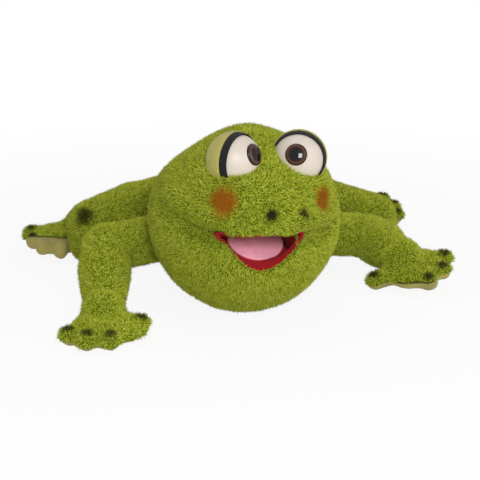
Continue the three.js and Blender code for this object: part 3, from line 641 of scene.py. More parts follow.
def open_neck(bm):
    """Takes out the cloth where the hand passes from the sleeve into the head."""
    way = neck_direction()
    gone = [face for face in bm.faces if face.calc_center_median().angle(way) < NECK_HALF_ANGLE]
    bmesh.ops.delete(bm, geom=gone, context="FACES")


def turn_in(bm, edges, inwards, back=None):
    """Extends an edge of a head form towards the head's centre or straight back, and gives the new
    points and edges."""
    verts, rim = extend(bm, edges)
    for vert in verts:
        vert.co += (back or -vert.co.normalized()) * inwards
    return verts, rim


def fold_share(place, points, width):
    """How much of a fold is felt at a place: all on its line, and less towards its sides and far end."""
    last = len(points) - 1
    near = 1.0
    left = 0.0
    for number, (a, b) in enumerate(zip(points, points[1:])):
        along = max(0.0, min(1.0, (place - a).dot(b - a) / (b - a).length_squared))
        away = (place - a.lerp(b, along)).length / width
        if away < near:
            near = away
            left = 1 - 0.6 * (number + along) / last
    return left * (1 - smooth_step(0.0, 1.0, near))


def crease(bm, points, width, depth):
    """A soft fold along a line on a head form."""
    for vert in bm.verts:
        vert.co -= vert.co.normalized() * depth * fold_share(vert.co, points, width)


def jaw_blend(piece):
    """Bakes the placing of a skin of the head into its mesh."""
    way = head_frame().to_3x3() @ JAW_WAY
    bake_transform(piece)


# Directions in the head's frame from the head towards the jaw, for the cover and for the lining
JAW_WAY = Vector((-0.16, -0.432, -0.888)).normalized()
LINING_WAY = Vector((0, 0.259, -0.966)).normalized()
# Places on the head's skin, from its centre
CHEEK_SPOTS = (Vector((-0.0535, -0.077, 0.042)), Vector((0.048, -0.0765, 0.0335)))
NOSTRIL_SPOTS = (Vector((-0.0153, -0.0987, 0.0305)), Vector((0.0185, -0.0945, 0.0255)))
LIP_FOLDS = (
    (
        Vector((-0.057, -0.076, 0.0105)),
        Vector((-0.0675, -0.0645, 0.0117)),
        Vector((-0.082, -0.0396, 0.019)),
        Vector((-0.089, -0.004, 0.026)),
    ),
    (
        Vector((0.016, -0.0955, 0.0062)),
        Vector((0.034, -0.0885, 0.0045)),
        Vector((0.051, -0.078, 0.0028)),
        Vector((0.072, -0.058, 0.004)),
    ),
)
FOLD_WIDTH = 0.0105
FOLD_DEPTH = 0.016
FOLD_DROP = 0.002
WORN_WIDTH = 0.02  # the shorter pile in and beside a fold
WORN_SHARE = 0.75
ROLL_RISE = 0.012  # the soft roll over each fold
ROLL_WIDTH = 0.014
ROLL_HEIGHT = 0.006
CHEEK_RADIUS = 0.0158
NOSTRIL_RADIUS = 0.0074


class FROG_OT_head(bpy.types.Operator):
    """Plush cover of the head and jaw, with its open mouth, sprayed cheeks and nostrils"""

    bl_idname = "frog.head"
    bl_label = "Head cover"

    def execute(self, context):
        size = context.scene.frog_sizes
        bm = head_form(size.skin_inset, 6)
        for fold in LIP_FOLDS:
            crease(bm, [point + UP * ROLL_RISE for point in fold], ROLL_WIDTH, -ROLL_HEIGHT)
            crease(bm, [point - UP * FOLD_DROP for point in fold], FOLD_WIDTH, FOLD_DEPTH)
        wrinkle(bm, amount=0.0012, span=0.035, seed=3.0)
        open_mouth(bm)
        pile_share, blush, spray = coat_layers(bm)
        for vert in bm.verts:
            felt = sum(fold_share(vert.co, fold, WORN_WIDTH) for fold in LIP_FOLDS)
            vert[pile_share] -= WORN_SHARE * felt
        rim = open_edges(bm)
        for inwards, share in ((0.0025, 0.5), (0.002, 0.0)):
            verts, rim = turn_in(bm, rim, inwards, Vector((0, 1, 0)))
            for vert in verts:
                vert[pile_share] = share
        open_neck(bm)
        way = neck_direction()
        hem = [edge for edge in open_edges(bm) if edge.verts[0].co.angle(way) < 2 * NECK_HALF_ANGLE]
        for vert in turn_in(bm, hem, NECK_TURN)[0]:
            vert[pile_share] = 0.0
        for cheek in CHEEK_SPOTS:
            airbrush(bm, blush, cheek, CHEEK_RADIUS, strength=0.85)
        for nostril in NOSTRIL_SPOTS:
            airbrush(bm, spray, nostril, NOSTRIL_RADIUS, strength=0.98)
        bm.transform(head_frame())
        ease_at_floor(bm, pile_share)
        piece = to_object(bm, "head_plush", finish_of("fur"))
        grow_pile(piece, finish_of("fur"), Vector((0, 0.35, -0.8)), seed=11)
        jaw_blend(piece)
        hang(piece, "green_fur", "head_cover", "jaw_cover", "right_cheek", "left_cheek")
        return {"FINISHED"}


class FROG_OT_mouth(bpy.types.Operator):
    """Felt lining of the mouth, and the tongue that is sewn on it"""

    bl_idname = "frog.mouth"
    bl_label = "Mouth lining and tongue"

    def execute(self, context):
        size = context.scene.frog_sizes
        self.line_mouth(size)
        self.lay_tongue(size)
        return {"FINISHED"}

    def line_mouth(self, size):
        hinge = head_frame().inverted() @ spot("jaw_open")
        corner = size.lip_rise - 0.001
        bm = head_form(size.skin_inset + 0.0035, 5)
        open_mouth(bm, 0.001)
        kept = {vert for edge in open_edges(bm) for vert in edge.verts}
        bmesh.ops.delete(bm, geom=[vert for vert in bm.verts if vert not in kept], context="VERTS")
        steps = 14
        edges = bm.edges[:]
        source = {vert: vert.co.copy() for vert in bm.verts}
        for step in range(1, steps + 1):
            share = (step / steps) ** 1.5
            new, edges = extend(bm, edges)
            fresh = set(new)
            for vert in new:
                old = next(other for edge in vert.link_edges for other in edge.verts if other not in fresh)
                lip = source[old]
                source[vert] = lip
                upper = lip.z > corner - math.tan(size.lip_slope) * (lip.x - size.lip_middle)
                vert.co = lip.lerp(Vector((lip.x * 0.94, hinge.y, hinge.z)), share)
                floor = hinge.z - math.tan(size.mouth_open) * (hinge.y - vert.co.y) - 0.0002
                level = size.palate_rise - 0.001 if upper else floor
                vert.co.z += (level - vert.co.z) * smooth_step(0.06, 0.25 if upper else 0.34, share)
        bmesh.ops.remove_doubles(bm, verts=bm.verts[:], dist=1e-5)
        face_out(bm)
        area = skin_area(bm)
        piece = to_object(bm, "mouth_lining", finish_of("lining"), head_frame())
        thicken(piece, "felt", 0.0014, offset=0.0)
        hinge = spot("jaw_open")
        way = head_frame().to_3x3() @ LINING_WAY
        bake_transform(piece)
        hang(piece, "red_felt", "palate_felt", "jaw_felt")

    def lay_tongue(self, size):
        bm = bmesh.new()
        half = size.tongue_width / 2
        middle = size.tongue_length - half
        bmesh.ops.create_circle(bm, cap_ends=True, radius=half, segments=48)
        for vert in bm.verts:
            if vert.co.y > 0:
                vert.co.x *= 1 - 0.12 * vert.co.y / half
                vert.co.y *= (middle - 0.0141) / half
            vert.co.y -= middle
        bmesh.ops.inset_region(bm, faces=bm.faces[:], thickness=0.0035)
        made = bmesh.ops.extrude_face_region(bm, geom=bm.faces[:])["geom"]
        raised = [part for part in made if isinstance(part, bmesh.types.BMVert)]
        bmesh.ops.translate(bm, verts=raised, vec=Vector((0, 0, 0.0026)))
        face_out(bm)
        outer = [edge for edge in bm.edges if len(edge.link_faces) == 2 and edge.calc_face_angle(0) > 1.2]
        bmesh.ops.bevel(
            bm, geom=outer, offset=0.0009, segments=2, affect="EDGES", profile=0.5, material=-1
        )
        bmesh.ops.translate(bm, verts=bm.verts[:], vec=Vector((0, 0, 0.0007)))
        area = skin_area(bm) / 2
        turned = Matrix.Rotation(-size.tongue_turn, 4, "Z")
        piece = to_object(bm, "tongue_felt", finish_of("tongue"), jaw_frame() @ turned)
        hang(piece, "pink_felt", "tongue", body="jaw")


EYE_DEPTH = 0.014  # from the head's skin to the cut back of each eye
LID_GAP = 0.0003


class FROG_OT_eyes(bpy.types.Operator):
    """White eyeballs with glossy irises, velour lids and black felt strips"""

    bl_idname = "frog.eyes"
    bl_label = "Eyes"

    def execute(self, context):
        for name, side in SIDES.items():
            self.build(context.scene.frog_sizes, name, side)
        return {"FINISHED"}

    def build(self, size, name, side):
        out = direction(side, size.eye_apart, size.eye_up - side * size.eye_skew)
        look = direction(-side, size.eye_turn_in, size.eye_tilt)
        across = UP.cross(look).normalized()
        matrix = head_frame() @ placed(across, look.cross(across), look, out * size.head_radius)
        radius = size.eyeball_radius
        skull = head_frame() @ (out * (size.head_radius - EYE_DEPTH))
        inwards = head_frame().to_3x3() @ -out
        hood = matrix @ Matrix.Rotation(size.lid_tilt, 4, "X")

        ball = bmesh.new()
        bmesh.ops.create_uvsphere(ball, u_segments=56, v_segments=32, radius=radius)
        self.trim(ball, matrix, skull, inwards)
        close_holes(ball)
        self.keep(ball, name + "_eye_white", "eye_white", matrix, name + "_eyeball", "eye_white")

        lid = bmesh.new()
        bmesh.ops.create_uvsphere(lid, u_segments=56, v_segments=32, radius=radius + LID_GAP)
        slice_off(lid, Vector((0, 0, 0)), UP)
        self.trim(lid, hood, skull, inwards)
        area = skin_area(lid)
        wall = self.keep(lid, name + "_eyelid", "lid", hood, name + "_lid", "pale_fur")
        thicken(wall, "velour", size.lid, offset=1.0, edge=0.0007, segments=3)

        strip = bmesh.new()
        bmesh.ops.create_uvsphere(strip, u_segments=56, v_segments=48, radius=radius + LID_GAP)
        slice_off(strip, Vector((0, 0, size.liner_width)), UP)
        slice_off(strip, Vector((0, 0, 0.0002)), -UP)
        self.trim(strip, hood, skull, inwards)
        area = skin_area(strip)
        band = self.keep(strip, name + "_eye_strip", "strip", hood, name + "_liner", "eye_black")
        thicken(band, "felt", 0.0013, offset=1.0, edge=0.0004)
        self.iris(size, name, matrix)

    def iris(self, size, name, matrix):
        seat = math.sqrt(size.eyeball_radius**2 - size.iris_radius**2) + 0.0002
        bm = bmesh.new()
        steps = 10
        profile = [bm.verts.new((0, 0, seat + size.iris_dome))]
        for step in range(1, steps + 1):
            angle = math.pi / 2 * step / steps
            share = math.sin(angle)
            profile.append(
                bm.verts.new((size.iris_radius * share, 0, seat + size.iris_dome * math.cos(angle) ** 0.8))
            )
        profile.append(bm.verts.new((size.iris_radius * 0.97, 0, seat - 0.002)))
        for pair in zip(profile, profile[1:]):
            bm.edges.new(pair)
        revolve(bm, UP, 48)
        reach = bm.verts.layers.float.new("reach")
        for vert in bm.verts:
            vert[reach] = vert.co.xy.length / size.iris_radius
        self.keep(bm, name + "_iris_dome", "iris", matrix, name + "_iris", "eye_brown")

    def trim(self, bm, matrix, skull, inwards):
        """Cuts off what would lie deep in the head, in the piece's own frame."""
        slice_off(bm, matrix.inverted() @ skull, matrix.to_3x3().inverted() @ inwards)

    def keep(self, bm, name, material, matrix, node, slot):
        piece = to_object(bm, name, finish_of(material), matrix)
        hang(piece, slot, node, body="head")
        return piece


TORSO_SQUAT = 0.82
TORSO_PROFILE = ((-0.1365, 0.057), (-0.08, 0.062), (0.0, 0.066), (0.036, 0.063), (0.092, 0.054))
LINING_INSET = 0.0058
HEM_PUCKERS = 40
NECK_ROLL = 0.0032


def torso_height():
    """Height of the torso's middle over the floor."""
    return sizes().belly_radius * TORSO_SQUAT - 0.0005


def torso_width(along):
    """Half-width of the torso at a place along it."""
    points = TORSO_PROFILE
    along = min(max(along, points[0][0]), points[-1][0])
    for (y0, w0), (y1, w1) in zip(points, points[1:]):
        if along <= y1:
            return w0 + (w1 - w0) * smooth_step(y0, y1, along)
    return points[-1][1]


def torso_tube(inset, standoff, segments=72, rings=44):
    """Sleeve of the torso, from the round of the head to the hand opening."""
    size = sizes()
    centre = spot("head_nod")
    height = torso_height()
    bm = bmesh.new()
    bmesh.ops.create_circle(bm, radius=1.0, segments=segments, matrix=Matrix.Rotation(math.pi / 2, 4, "X"))
    edges = bm.edges[:]
    for _ in range(rings):
        verts, edges = extend(bm, edges)
        bmesh.ops.translate(bm, verts=verts, vec=Vector((0, 1 / rings, 0)))
    for vert in bm.verts:
        share = vert.co.y
        near = TORSO_PROFILE[0][1] + 0.003 - inset
        x = near * vert.co.x
        z = height + TORSO_SQUAT * near * vert.co.z - centre.z
        reach = (size.head_radius + standoff) ** 2 - x * x - z * z
        front = centre.y + math.sqrt(max(reach, 0.0))
        along = front + (size.sleeve_back - front) * share
        width = torso_width(along) - inset
        vert.co = Vector((width * vert.co.x, along, height + TORSO_SQUAT * width * vert.co.z))
    face_out(bm)
    return bm


class FROG_OT_torso(bpy.types.Operator):
    """Plush torso with its cotton lining, hem and neck"""

    bl_idname = "frog.torso"
    bl_label = "Torso"

    def execute(self, context):
        size = context.scene.frog_sizes
        seam = UP * torso_height()
        for name, node, out, finish, slot, seed in (
            ("torso_back", "back_panel", -UP, "fur", "green_fur", 41),
            ("torso_belly", "belly_panel", UP, "belly", "pale_fur", 43),
        ):
            bm = torso_tube(size.skin_inset, -0.0005)
            wrinkle(bm, amount=0.002, span=0.03, seed=5.0)
            slice_off(bm, seam, out)
            pile_share = coat_layers(bm)[0]
            ease_at_floor(bm, pile_share)
            keep_over_floor(bm.verts, SKIN_OVER_FLOOR)
            piece = to_object(bm, name, finish_of(finish))
            grow_pile(piece, finish_of(finish), Vector((0, 0.9, -0.3)), seed)
            hang(piece, slot, node, body="torso")
        self.line_sleeve(self.hem(size))
        self.neck(size)
        return {"FINISHED"}

    def line_sleeve(self, hem):
        bm = torso_tube(LINING_INSET, 0.0015, 48, 24)
        wrinkle(bm, amount=0.0012, span=0.02, seed=8.0)
        bmesh.ops.reverse_faces(bm, faces=bm.faces[:])
        area = skin_area(bm)
        piece = to_object(bm, "sleeve_cotton", finish_of("cotton"))
        thicken(piece, "cloth", 0.0008)
        hang(piece, "cotton", "sleeve_lining", body="torso")

    def hem(self, size):
        """Rolled cotton hem, gathered into small puckers by its stitches."""
        rear = TORSO_PROFILE[-1][1]
        bm = bmesh.new()
        thick = 0.0042
        lap = 0.0024
        middle = Vector((rear - 0.0022, size.sleeve_back + (size.hem_length - lap) / 2, 0))
        ring = bmesh.ops.create_circle(bm, radius=1.0, segments=14)["verts"]
        bmesh.ops.scale(bm, verts=ring, vec=Vector((thick, (size.hem_length + lap) / 2, 1)))
        bmesh.ops.translate(bm, verts=ring, vec=middle)
        revolve(bm, (0, 1, 0), 160)
        bm.normal_update()
        for vert in bm.verts:
            pucker = math.sin(HEM_PUCKERS * math.atan2(vert.co.z, vert.co.x))
            vert.co += vert.normal * 0.0005 * pucker
            vert.co.z = torso_height() + TORSO_SQUAT * vert.co.z
        piece = to_object(bm, "sleeve_hem", finish_of("cotton"))
        hang(piece, "cotton", "opening_hem", body="torso")
        return piece

    def neck(self, size):
        """Soft roll between the head and the torso."""
        bm = bmesh.new()
        angle = NECK_HALF_ANGLE + math.radians(5.5)
        reach = size.head_radius - 0.003
        ring = bmesh.ops.create_circle(bm, radius=NECK_ROLL, segments=10)["verts"]
        bmesh.ops.rotate(bm, verts=ring, cent=(0, 0, 0), matrix=Matrix.Rotation(math.pi / 2, 3, "X"))
        bmesh.ops.translate(bm, verts=ring, vec=Vector((reach * math.sin(angle), 0, reach * math.cos(angle))))
        revolve(bm, UP, 96)
        tilted = NECK_WAY.to_track_quat("Z", "Y").to_matrix().to_4x4()
        bm.transform(Matrix.Translation(spot("head_nod")) @ tilted)
        coat_layers(bm, 0.8)
        piece = to_object(bm, "neck_plush", finish_of("fur"))
        grow_pile(piece, finish_of("fur"), Vector((0, 0.6, -0.3)), seed=47)
        hang(piece, "green_fur", "neck_band", body="neck")


def ball(bm, at, radius, scale=(1, 1, 1), matrix=Matrix()):
    place = matrix @ Matrix.Translation(at) @ Matrix.Diagonal((*scale, 1))
    bmesh.ops.create_uvsphere(bm, u_segments=20, v_segments=12, radius=radius, matrix=place)


def stuffed(bm, a, b, radius_a, radius_b, matrix=Matrix()):
    """Tapered tube with round ends, for the filled parts of a limb."""
    ball(bm, a, radius_a, matrix=matrix)
    ball(bm, b, radius_b, matrix=matrix)
    way = b - a
    place = Matrix.Translation((a + b) / 2) @ way.to_track_quat("Z", "Y").to_matrix().to_4x4()
    bmesh.ops.create_cone(
        bm,
        cap_ends=True,
        segments=24,
        radius1=radius_a,
        radius2=radius_b,
        depth=way.length,
        matrix=matrix @ place,
    )


HEEL_AHEAD = 0.0088
PALM_AHEAD = 0.0254
PALM_RADIUS = 0.032
PALM_HALF_HEIGHT = 0.0151
FINGER_START = 0.0174
FINGER_ROOT = 0.0108
FINGER_TIP = 0.0118
FINGER_ROUND = 0.0125  # from the middle of a fingertip to the ends of its pile
WEB_REACH = 0.05  # fingers further apart have no web
NAIL_RADIUS = 0.007


class Paw:
    """Palm and blunt fingers about a joint, pointing along X with the sole below."""

    def __init__(self, joint, side, reach, thumb_reach, spread, drop, roll=0.0, heel=0.022):
        y = axis(joint)
        x = Vector((y.y, -y.x, 0)).normalized()
        self.matrix = placed(x, y, x.cross(y), spot(joint)) @ Matrix.Rotation(roll, 4, "X")
        self.drop = drop
        self.heel = heel
        self.ends = []
        for place, angle in enumerate(spread):
            far = thumb_reach if place == len(spread) - 1 else reach
            turned = math.radians(-side * angle)
            way = Vector((math.cos(turned), math.sin(turned), 0))
            self.ends.append(Vector((FINGER_START, 0, 0)) + way * (far - FINGER_START - FINGER_ROUND))

    def fill(self, bm, inset):
        """The paw's balls and fingers, as far inside the pile's tips as the inset says."""
        low = -self.drop
        heel = Vector((HEEL_AHEAD, 0, self.heel - 0.0242))
        ball(bm, heel, self.heel - inset, (1.05, 1, 0.95), self.matrix)
        palm = (PALM_RADIUS - inset, PALM_RADIUS - inset, PALM_HALF_HEIGHT - inset * 0.6)
        ball(bm, Vector((PALM_AHEAD, 0, low + 0.0092)), 1.0, palm, self.matrix)
        for end in self.ends:
            root = Vector((FINGER_START, 0, low + 0.0095))
            tip = Vector((end.x, end.y, low + 0.0088))
            stuffed(bm, root, tip, FINGER_ROOT - inset, FINGER_TIP - inset, self.matrix)
        for a, b in zip(self.ends, self.ends[1:]):
            apart = (a - b).length
            if apart < WEB_REACH:
                web = (apart * 0.6 - inset, apart * 0.6 - inset, 0.0085 - inset * 0.5)
                ball(bm, (a + b) * 0.38 + Vector((0, 0, low + 0.0086)), 1.0, web, self.matrix)

    def nails(self):
        """Places on top of the finger ends, in the shared frame."""
        return [self.matrix @ (end + Vector((0, 0, 0.0165 - self.drop))) for end in self.ends]


def union(bm, name, voxel):
    """One smooth skin round overlapping forms."""
    piece = to_object(bm, name, finish_of("fur"))
    remesh = piece.modifiers.new("union", "REMESH")
    remesh.mode = "VOXEL"
    remesh.voxel_size = voxel
    apply_modifiers(piece)
    made = bmesh.new()
    made.from_mesh(piece.data)
    bpy.data.objects.remove(piece)
    soften(made, made.verts[:], 5)
    return made


def part_off(bm, at, along, reach):
    """Cuts a limb's skin through at a place, without touching what lies further off."""
    near = [face for face in bm.faces if (face.calc_center_median() - at).length < reach]
    cut = cut_through(bm, near, at, along)
    bmesh.ops.split_edges(bm, edges=[part for part in cut if isinstance(part, bmesh.types.BMEdge)])


def island(bm, seed):
    """A copy of the part of a cut skin that is nearest to a point, closed where it was cut."""
    made = bm.copy()
    first = min(made.verts, key=lambda vert: (vert.co - seed).length_squared)
    found = {first}
    front = [first]
    while front:
        vert = front.pop()
        for edge in vert.link_edges:
            other = edge.other_vert(vert)
            if other not in found:
                found.add(other)
                front.append(other)
    bmesh.ops.delete(made, geom=[vert for vert in made.verts if vert not in found], context="VERTS")
    return made


def close_cuts(bm, layer):
    """Closes a skin's cut ends with plain cloth that has no pile."""
    faces = close_holes(bm)
    inner = bmesh.ops.inset_region(bm, faces=faces, thickness=0.0004)["faces"]
    for face in faces + inner:
        if face.is_valid and len(face.verts) > 4:
            for vert in face.verts:
                vert[layer] = 0.0


class Limb:
    """One arm or leg: two stuffed tubes sewn as one skin and parted between its joints, and a paw."""

    def __init__(self, name, joints, bodies, radii, paw, seed, seam_lean, bend_shift, bulges):
        self.name = name
        self.seam_lean = seam_lean
        self.bend_shift = bend_shift
        self.bulges = bulges
        self.bodies = bodies
        self.radii = radii
        self.paw = paw
        self.seed = seed
        self.points = [spot(joint) for joint in joints]

    def skin(self):
        inset = sizes().skin_inset
        root, middle, end = self.points
        middle = middle + self.bend_shift
        root_radius, upper, bend, lower, last = (radius - inset for radius in self.radii)
        half_upper = root.lerp(middle, 0.5)
        half_lower = middle.lerp(end, 0.5)
        bm = bmesh.new()
        stuffed(bm, root, half_upper, root_radius, upper)
        stuffed(bm, half_upper, middle, upper, bend)
        stuffed(bm, middle, half_lower, bend, lower)
        stuffed(bm, half_lower, end, lower, last)
        for at, radius in self.bulges:
            ball(bm, at, radius - inset)
        return union(bm, self.name, 0.0026)

    def paw_skin(self):
        bm = bmesh.new()
        self.paw.fill(bm, sizes().skin_inset * 0.8)
        return union(bm, self.name, 0.0024)

    def build(self, sprayed):
        """Parts the skin, colours it, grows its pile and hangs each part in the place of its solids, the paw
        on its own body.
        """
        root, middle, end = self.points
        first = (middle - root).normalized()
        second = (end - middle).normalized()
        whole = self.skin()
        part_off(whole, root.lerp(middle, 0.5), first, 0.06)
        bend = (first + second).normalized()
        paw_way = self.paw.matrix.to_3x3().col[0]
        torso_way = Vector((math.copysign(1, root.x), 0, 0))
        plans = (
            ("root", island(whole, root.lerp(middle, 0.2)), root, torso_way, -0.004, 0.03),
            ("bend", island(whole, middle), middle, bend, -0.014, 0.014),
            ("paw", self.paw_skin(), None, None, None, None),
        )
        whole.free()
        for number, (label, bm, hinge, way, low, high) in enumerate(plans):
            pile_share, _, spray = coat_layers(bm)
            if label == "paw":
                at, up = self.seam()
                slice_off(bm, at, -up)
            close_cuts(bm, pile_share)
            wrinkle(bm, amount=0.0013, span=0.018, seed=self.seed + number)
            ease_at_floor(bm, pile_share)
            keep_over_floor(bm.verts, SKIN_OVER_FLOOR)
            for point, radius in sprayed:
                airbrush(bm, spray, point, radius, strength=0.9)
            piece = to_object(bm, self.name + "_" + label, finish_of("fur"))
            comb = (first, second, paw_way)[number]
            grow_pile(piece, finish_of("fur"), comb * 0.8 - UP * 0.2, self.seed + 10 * number)
            if label != "paw":
                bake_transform(piece)
            node = self.bodies[number + 1]
            hang(piece, "green_fur", node, body=node if label == "paw" else None)
        self.sole(self.paw_skin())

    def seam(self):
        """A point on the seam between a paw and its sole, and the way up from it."""
        x, _, up = (column.copy() for column in self.paw.matrix.to_3x3().col)
        at = self.paw.matrix.translation + x * 0.03 + up * (0.009 - self.paw.drop)
        return at, (up - self.seam_lean).normalized()

    def sole(self, bm):
        """Suede sole: the rounded underside of the paw, with a darker band along its top edge, where it is
        sewn to the paw.
        """
        at, up = self.seam()
        slice_off(bm, at - up * 0.0002, up)
        soften(bm, [vert for vert in bm.verts if not vert.is_boundary], 14)
        wrinkle(bm, amount=0.0012, span=0.011, seed=self.seed)
        close_holes(bm)
        edge = bm.verts.layers.float.new("edge")
        # A darker band just under the seam, fading out over about a millimetre and a half
        for vert in bm.verts:
            vert[edge] = 1.0 - smooth_step(0.0003, 0.0016, (at - vert.co).dot(up))
        keep_over_floor(bm.verts)
        face_out(bm)
        body = self.bodies[3]
        piece = to_object(bm, self.name + "_sole", finish_of("sole"))
        hang(piece, "suede", body + "_sole", body=body)


ARM_RADII = (0.025, 0.025, 0.0245, 0.027, 0.0195)
LEG_RADII = (0.027, 0.033, 0.031, 0.021, 0.0165)
VIEWER = Vector((-0.139, -0.99, 0))  # level direction towards the camera
KNEE_SPRAY = Vector((0.002, -0.024, 0.023))


class FROG_OT_arms(bpy.types.Operator):
    """Stuffed arms with spread hands"""

    bl_idname = "frog.arms"
    bl_label = "Arms"

    def execute(self, context):
        for name, side in SIDES.items():
            joints = [name + part for part in ("_shoulder", "_elbow", "_wrist")]
            bodies = ["torso"] + [name + part for part in ("_upper_arm", "_forearm", "_hand")]
            thumb, thumb_way = (0.066, 96) if name == "right" else (0.07, 116)
            paw = Paw(name + "_wrist", side, 0.068, thumb, (-50, -16, 18, thumb_way), 0.024)
            lean = VIEWER * (-0.08 if name == "right" else 0.15)
            limb = Limb(name + "_arm", joints, bodies, ARM_RADII, paw, 60 + 40 * side, lean, Vector(), [])
            limb.build([(nail, NAIL_RADIUS) for nail in paw.nails()])
        return {"FINISHED"}


class FROG_OT_legs(bpy.types.Operator):
    """Stuffed legs with spread feet and sprayed knees"""

    bl_idname = "frog.legs"
    bl_label = "Legs"

    def execute(self, context):
        for name, side in SIDES.items():
            joints = [name + part for part in ("_hip", "_knee", "_ankle")]
            bodies = ["torso"] + [name + part for part in ("_thigh", "_shin", "_foot")]
            roll = math.radians(12) if name == "right" else 0.0
            paw = Paw(name + "_ankle", side, 0.07, 0.07, (-46, -16, 15, 46), 0.025, roll, 0.0165)
            knee = spot(name + "_knee")
            sprayed = [(nail, NAIL_RADIUS) for nail in paw.nails()]
            shift = Vector()
            bulges = []
            lean = VIEWER * 0.1
            if name == "right":
                shift = Vector((0.013, -0.002, 0.001))
                bulges = [(knee + Vector((0.011, 0, -0.017)), 0.027)]
                lean = VIEWER * 0.6
                sprayed.append((knee + KNEE_SPRAY, 0.0155))
            limb = Limb(name + "_leg", joints, bodies, LEG_RADII, paw, 260 + 40 * side, lean, shift, bulges)
            limb.build(sprayed)
        return {"FINISHED"}


BOARD_REACH = 0.076


class FROG_OT_inside(bpy.types.Operator):
    """Foam of the head, pockets for the hand, and boards behind the mouth"""

    bl_idname = "frog.inside"
    bl_label = "Inside of the head"

    def execute(self, context):
        size = context.scene.frog_sizes
        bm = head_form(0.0105, 5)
        for fold in LIP_FOLDS:
            crease(bm, fold, width=0.022, depth=0.02)
        open_mouth(bm, 0.028)
        open_neck(bm)
        piece = to_object(bm, "head_former", finish_of("foam"), head_frame())
        thicken(piece, "wall", 0.0095)
        keep_over_floor(piece.data.vertices)
        jaw_blend(piece)
        hang(piece, "foam", "head_foam", "jaw_foam")
        head = head_frame() @ Matrix.Translation((0, -0.021, size.palate_rise + 0.0047))
        self.pocket("fingers_cotton", "finger_pocket", "head", "palate_card", head, 0.086, 0.03)
        jaw = jaw_frame() @ Matrix.Translation((0, -0.007, -0.0047)) @ Matrix.Rotation(math.pi, 4, "Y")
        self.pocket("thumb_cotton", "thumb_pocket", "jaw", "jaw_card", jaw, 0.038, 0.026)
        level = head_frame() @ Matrix.Translation((0, -0.014, size.palate_rise + 0.0033))
        self.board("palate_card", "palate_board", "head", level)
        self.board("jaw_card", "jaw_board", "jaw", jaw_frame() @ Matrix.Translation((0, 0, -0.0033)))
        return {"FINISHED"}

    def board(self, name, node, body, matrix):
        """Stiff board behind the mouth's felt, cut to the round of the head and clear of the lips."""
        bm = bmesh.new()
        bmesh.ops.create_icosphere(bm, subdivisions=4, radius=BOARD_REACH, matrix=head_frame())
        _, y, up = (column.copy() for column in matrix.to_3x3().col)
        at = matrix.translation
        for place, out in ((at + up * 0.001, up), (at - up * 0.001, -up), (at - y * 0.005, y)):
            slice_off(bm, place, out)
            close_holes(bm)
        face_out(bm)
        piece = to_object(bm, name, finish_of("board"), smooth=False)
        hang(piece, "board", node, body=body)

    def pocket(self, name, node, body, card, matrix, width, height):
        """Half tube of cotton, sewn to a board along both edges."""
        bm = bmesh.new()
        ring = bmesh.ops.create_circle(bm, radius=1.0, segments=48)["verts"]
        low = [vert for vert in ring if vert.co.y < -0.001]
        bmesh.ops.delete(bm, geom=low, context="VERTS")
        bmesh.ops.rotate(bm, verts=bm.verts[:], cent=(0, 0, 0), matrix=Matrix.Rotation(math.pi / 2, 3, "X"))
        bmesh.ops.scale(bm, verts=bm.verts[:], vec=Vector((width / 2 - 0.001, 1, height - 0.001)))
        edges = bm.edges[:]
        for _ in range(8):
            verts, edges = extend(bm, edges)
            bmesh.ops.translate(bm, verts=verts, vec=Vector((0, -0.004, 0)))
        face_out(bm)
        area = skin_area(bm)
        piece = to_object(bm, name, finish_of("cotton"), matrix)
        thicken(piece, "cloth", 0.0012)
        hang(piece, "cotton", node, body=body)


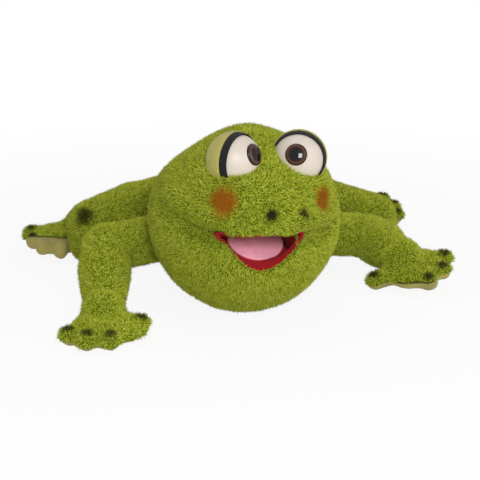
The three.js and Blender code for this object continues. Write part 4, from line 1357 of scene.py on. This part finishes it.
class FROG_OT_stage(bpy.types.Operator):
    """White floor, soft studio light and a camera at the photograph's angle"""

    bl_idname = "frog.stage"
    bl_label = "Stage"

    def execute(self, context):
        scene = context.scene
        scene.view_settings.view_transform = "Standard"
        self.place_camera(scene)
        self.lay_floor()
        self.light(scene)
        return {"FINISHED"}

    def place_camera(self, scene):
        lens = bpy.data.cameras.new("camera")
        lens.sensor_width = 36
        lens.lens = 36 * CAMERA_DISTANCE * 1000 / PHOTO_PIXELS
        lens.shift_x = (PHOTO_PIXELS / 2 - HEAD_PIXEL[0]) / PHOTO_PIXELS
        lens.shift_y = (HEAD_PIXEL[1] - PHOTO_PIXELS / 2) / PHOTO_PIXELS
        camera = bpy.data.objects.new("camera", lens)
        scene.collection.objects.link(camera)
        back = direction(1, CAMERA_AZIMUTH, CAMERA_ELEVATION)
        camera.location = spot("head_nod") + back * CAMERA_DISTANCE
        camera.rotation_mode = "QUATERNION"
        camera.rotation_quaternion = (-back).to_track_quat("-Z", "Y")
        scene.camera = camera

    def lay_floor(self):
        """White seamless paper: full white to the camera, with the puppet's own shadow on it."""
        bm = bmesh.new()
        bmesh.ops.create_grid(bm, x_segments=2, y_segments=2, size=4.0)
        material, tree, shader = surface("white paper", Base_Color=linear("#f4f4f2"), Roughness=0.95)
        glow = add(tree, "ShaderNodeEmission", {"Color": (1, 1, 1, 1), "Strength": 1.0})
        place = add(tree, "ShaderNodeTexCoord", out="Object")
        away = add(tree, "ShaderNodeVectorMath", {0: place}, "Value", operation="LENGTH")
        span = {"Value": away, "From Min": 0.25, "From Max": 0.75, "To Min": 0.9}
        share = add(tree, "ShaderNodeMapRange", span)
        seen = add(tree, "ShaderNodeMath", {0: self.plain_rays(tree), 1: share}, operation="MULTIPLY")
        both = add(tree, "ShaderNodeMixShader", {0: seen, 1: shader.outputs[0], 2: glow})
        tree.links.new(both, tree.nodes["Material Output"].inputs["Surface"])
        floor = to_object(bm, "floor", material, smooth=False)

    def plain_rays(self, tree):
        """One for the rays of the camera, of gloss and through glass, which all see plain white."""
        path = add(tree, "ShaderNodeLightPath").node
        rays = path.outputs["Is Camera Ray"]
        for name in ("Is Glossy Ray", "Is Transmission Ray"):
            both = {0: rays, 1: path.outputs[name]}
            rays = add(tree, "ShaderNodeMath", both, operation="MAXIMUM")
        return rays

    def light(self, scene):
        world = bpy.data.worlds.new("studio")
        world.use_nodes = True
        scene.world = world
        tree = world.node_tree
        soft = tree.nodes["Background"]
        soft.inputs["Color"].default_value = (1, 1, 1, 1)
        soft.inputs["Strength"].default_value = 0.28
        white = add(tree, "ShaderNodeBackground", {"Color": (1, 1, 1, 1), "Strength": 1.0})
        both = {0: self.plain_rays(tree), 1: soft.outputs[0], 2: white}
        both = add(tree, "ShaderNodeMixShader", both)
        tree.links.new(both, tree.nodes["World Output"].inputs["Surface"])
        for name, place, power, wide in (
            ("key_light", (-0.1, -1.3, 0.6), 7.6, 0.3),
            ("fill_light", (0.95, -0.85, 0.5), 3.4, 0.8),
            ("top_light", (-0.2, 0.15, 1.5), 3.6, 1.0),
        ):
            lamp = bpy.data.lights.new(name, "AREA")
            lamp.energy = power
            lamp.size = wide
            holder = bpy.data.objects.new(name, lamp)
            holder.location = place
            aim = Vector((0, -0.1, 0.06)) - Vector(place)
            holder.rotation_mode = "QUATERNION"
            holder.rotation_quaternion = aim.to_track_quat("-Z", "Y")
            scene.collection.objects.link(holder)


STEPS = ("stage", "head", "mouth", "eyes", "torso", "arms", "legs", "inside")


class FROG_PT_puppet(bpy.types.Panel):
    """The puppet's parts, sizes and colours"""

    bl_idname = "FROG_PT_puppet"
    bl_label = "Frog puppet"
    bl_space_type = "VIEW_3D"
    bl_region_type = "UI"
    bl_category = "Frog puppet"

    def draw(self, context):
        layout = self.layout
        for step in STEPS:
            layout.operator("frog." + step)
        for group in (context.scene.frog_sizes, context.scene.frog_colours):
            box = layout.box()
            for name in group.__annotations__:
                box.prop(group, name)


CLASSES = (
    FrogSizes,
    FrogColours,
    FROG_OT_stage,
    FROG_OT_head,
    FROG_OT_mouth,
    FROG_OT_eyes,
    FROG_OT_torso,
    FROG_OT_arms,
    FROG_OT_legs,
    FROG_OT_inside,
    FROG_PT_puppet,
)


def register():
    for kind in CLASSES:
        bpy.utils.register_class(kind)
    bpy.types.Scene.frog_sizes = bpy.props.PointerProperty(type=FrogSizes)
    bpy.types.Scene.frog_colours = bpy.props.PointerProperty(type=FrogColours)


def unregister():
    del bpy.types.Scene.frog_colours
    del bpy.types.Scene.frog_sizes
    for kind in reversed(CLASSES):
        bpy.utils.unregister_class(kind)


def main():
    register()
    for step in STEPS:
        getattr(bpy.ops.frog, step)()


if __name__ == "__main__":
    main()
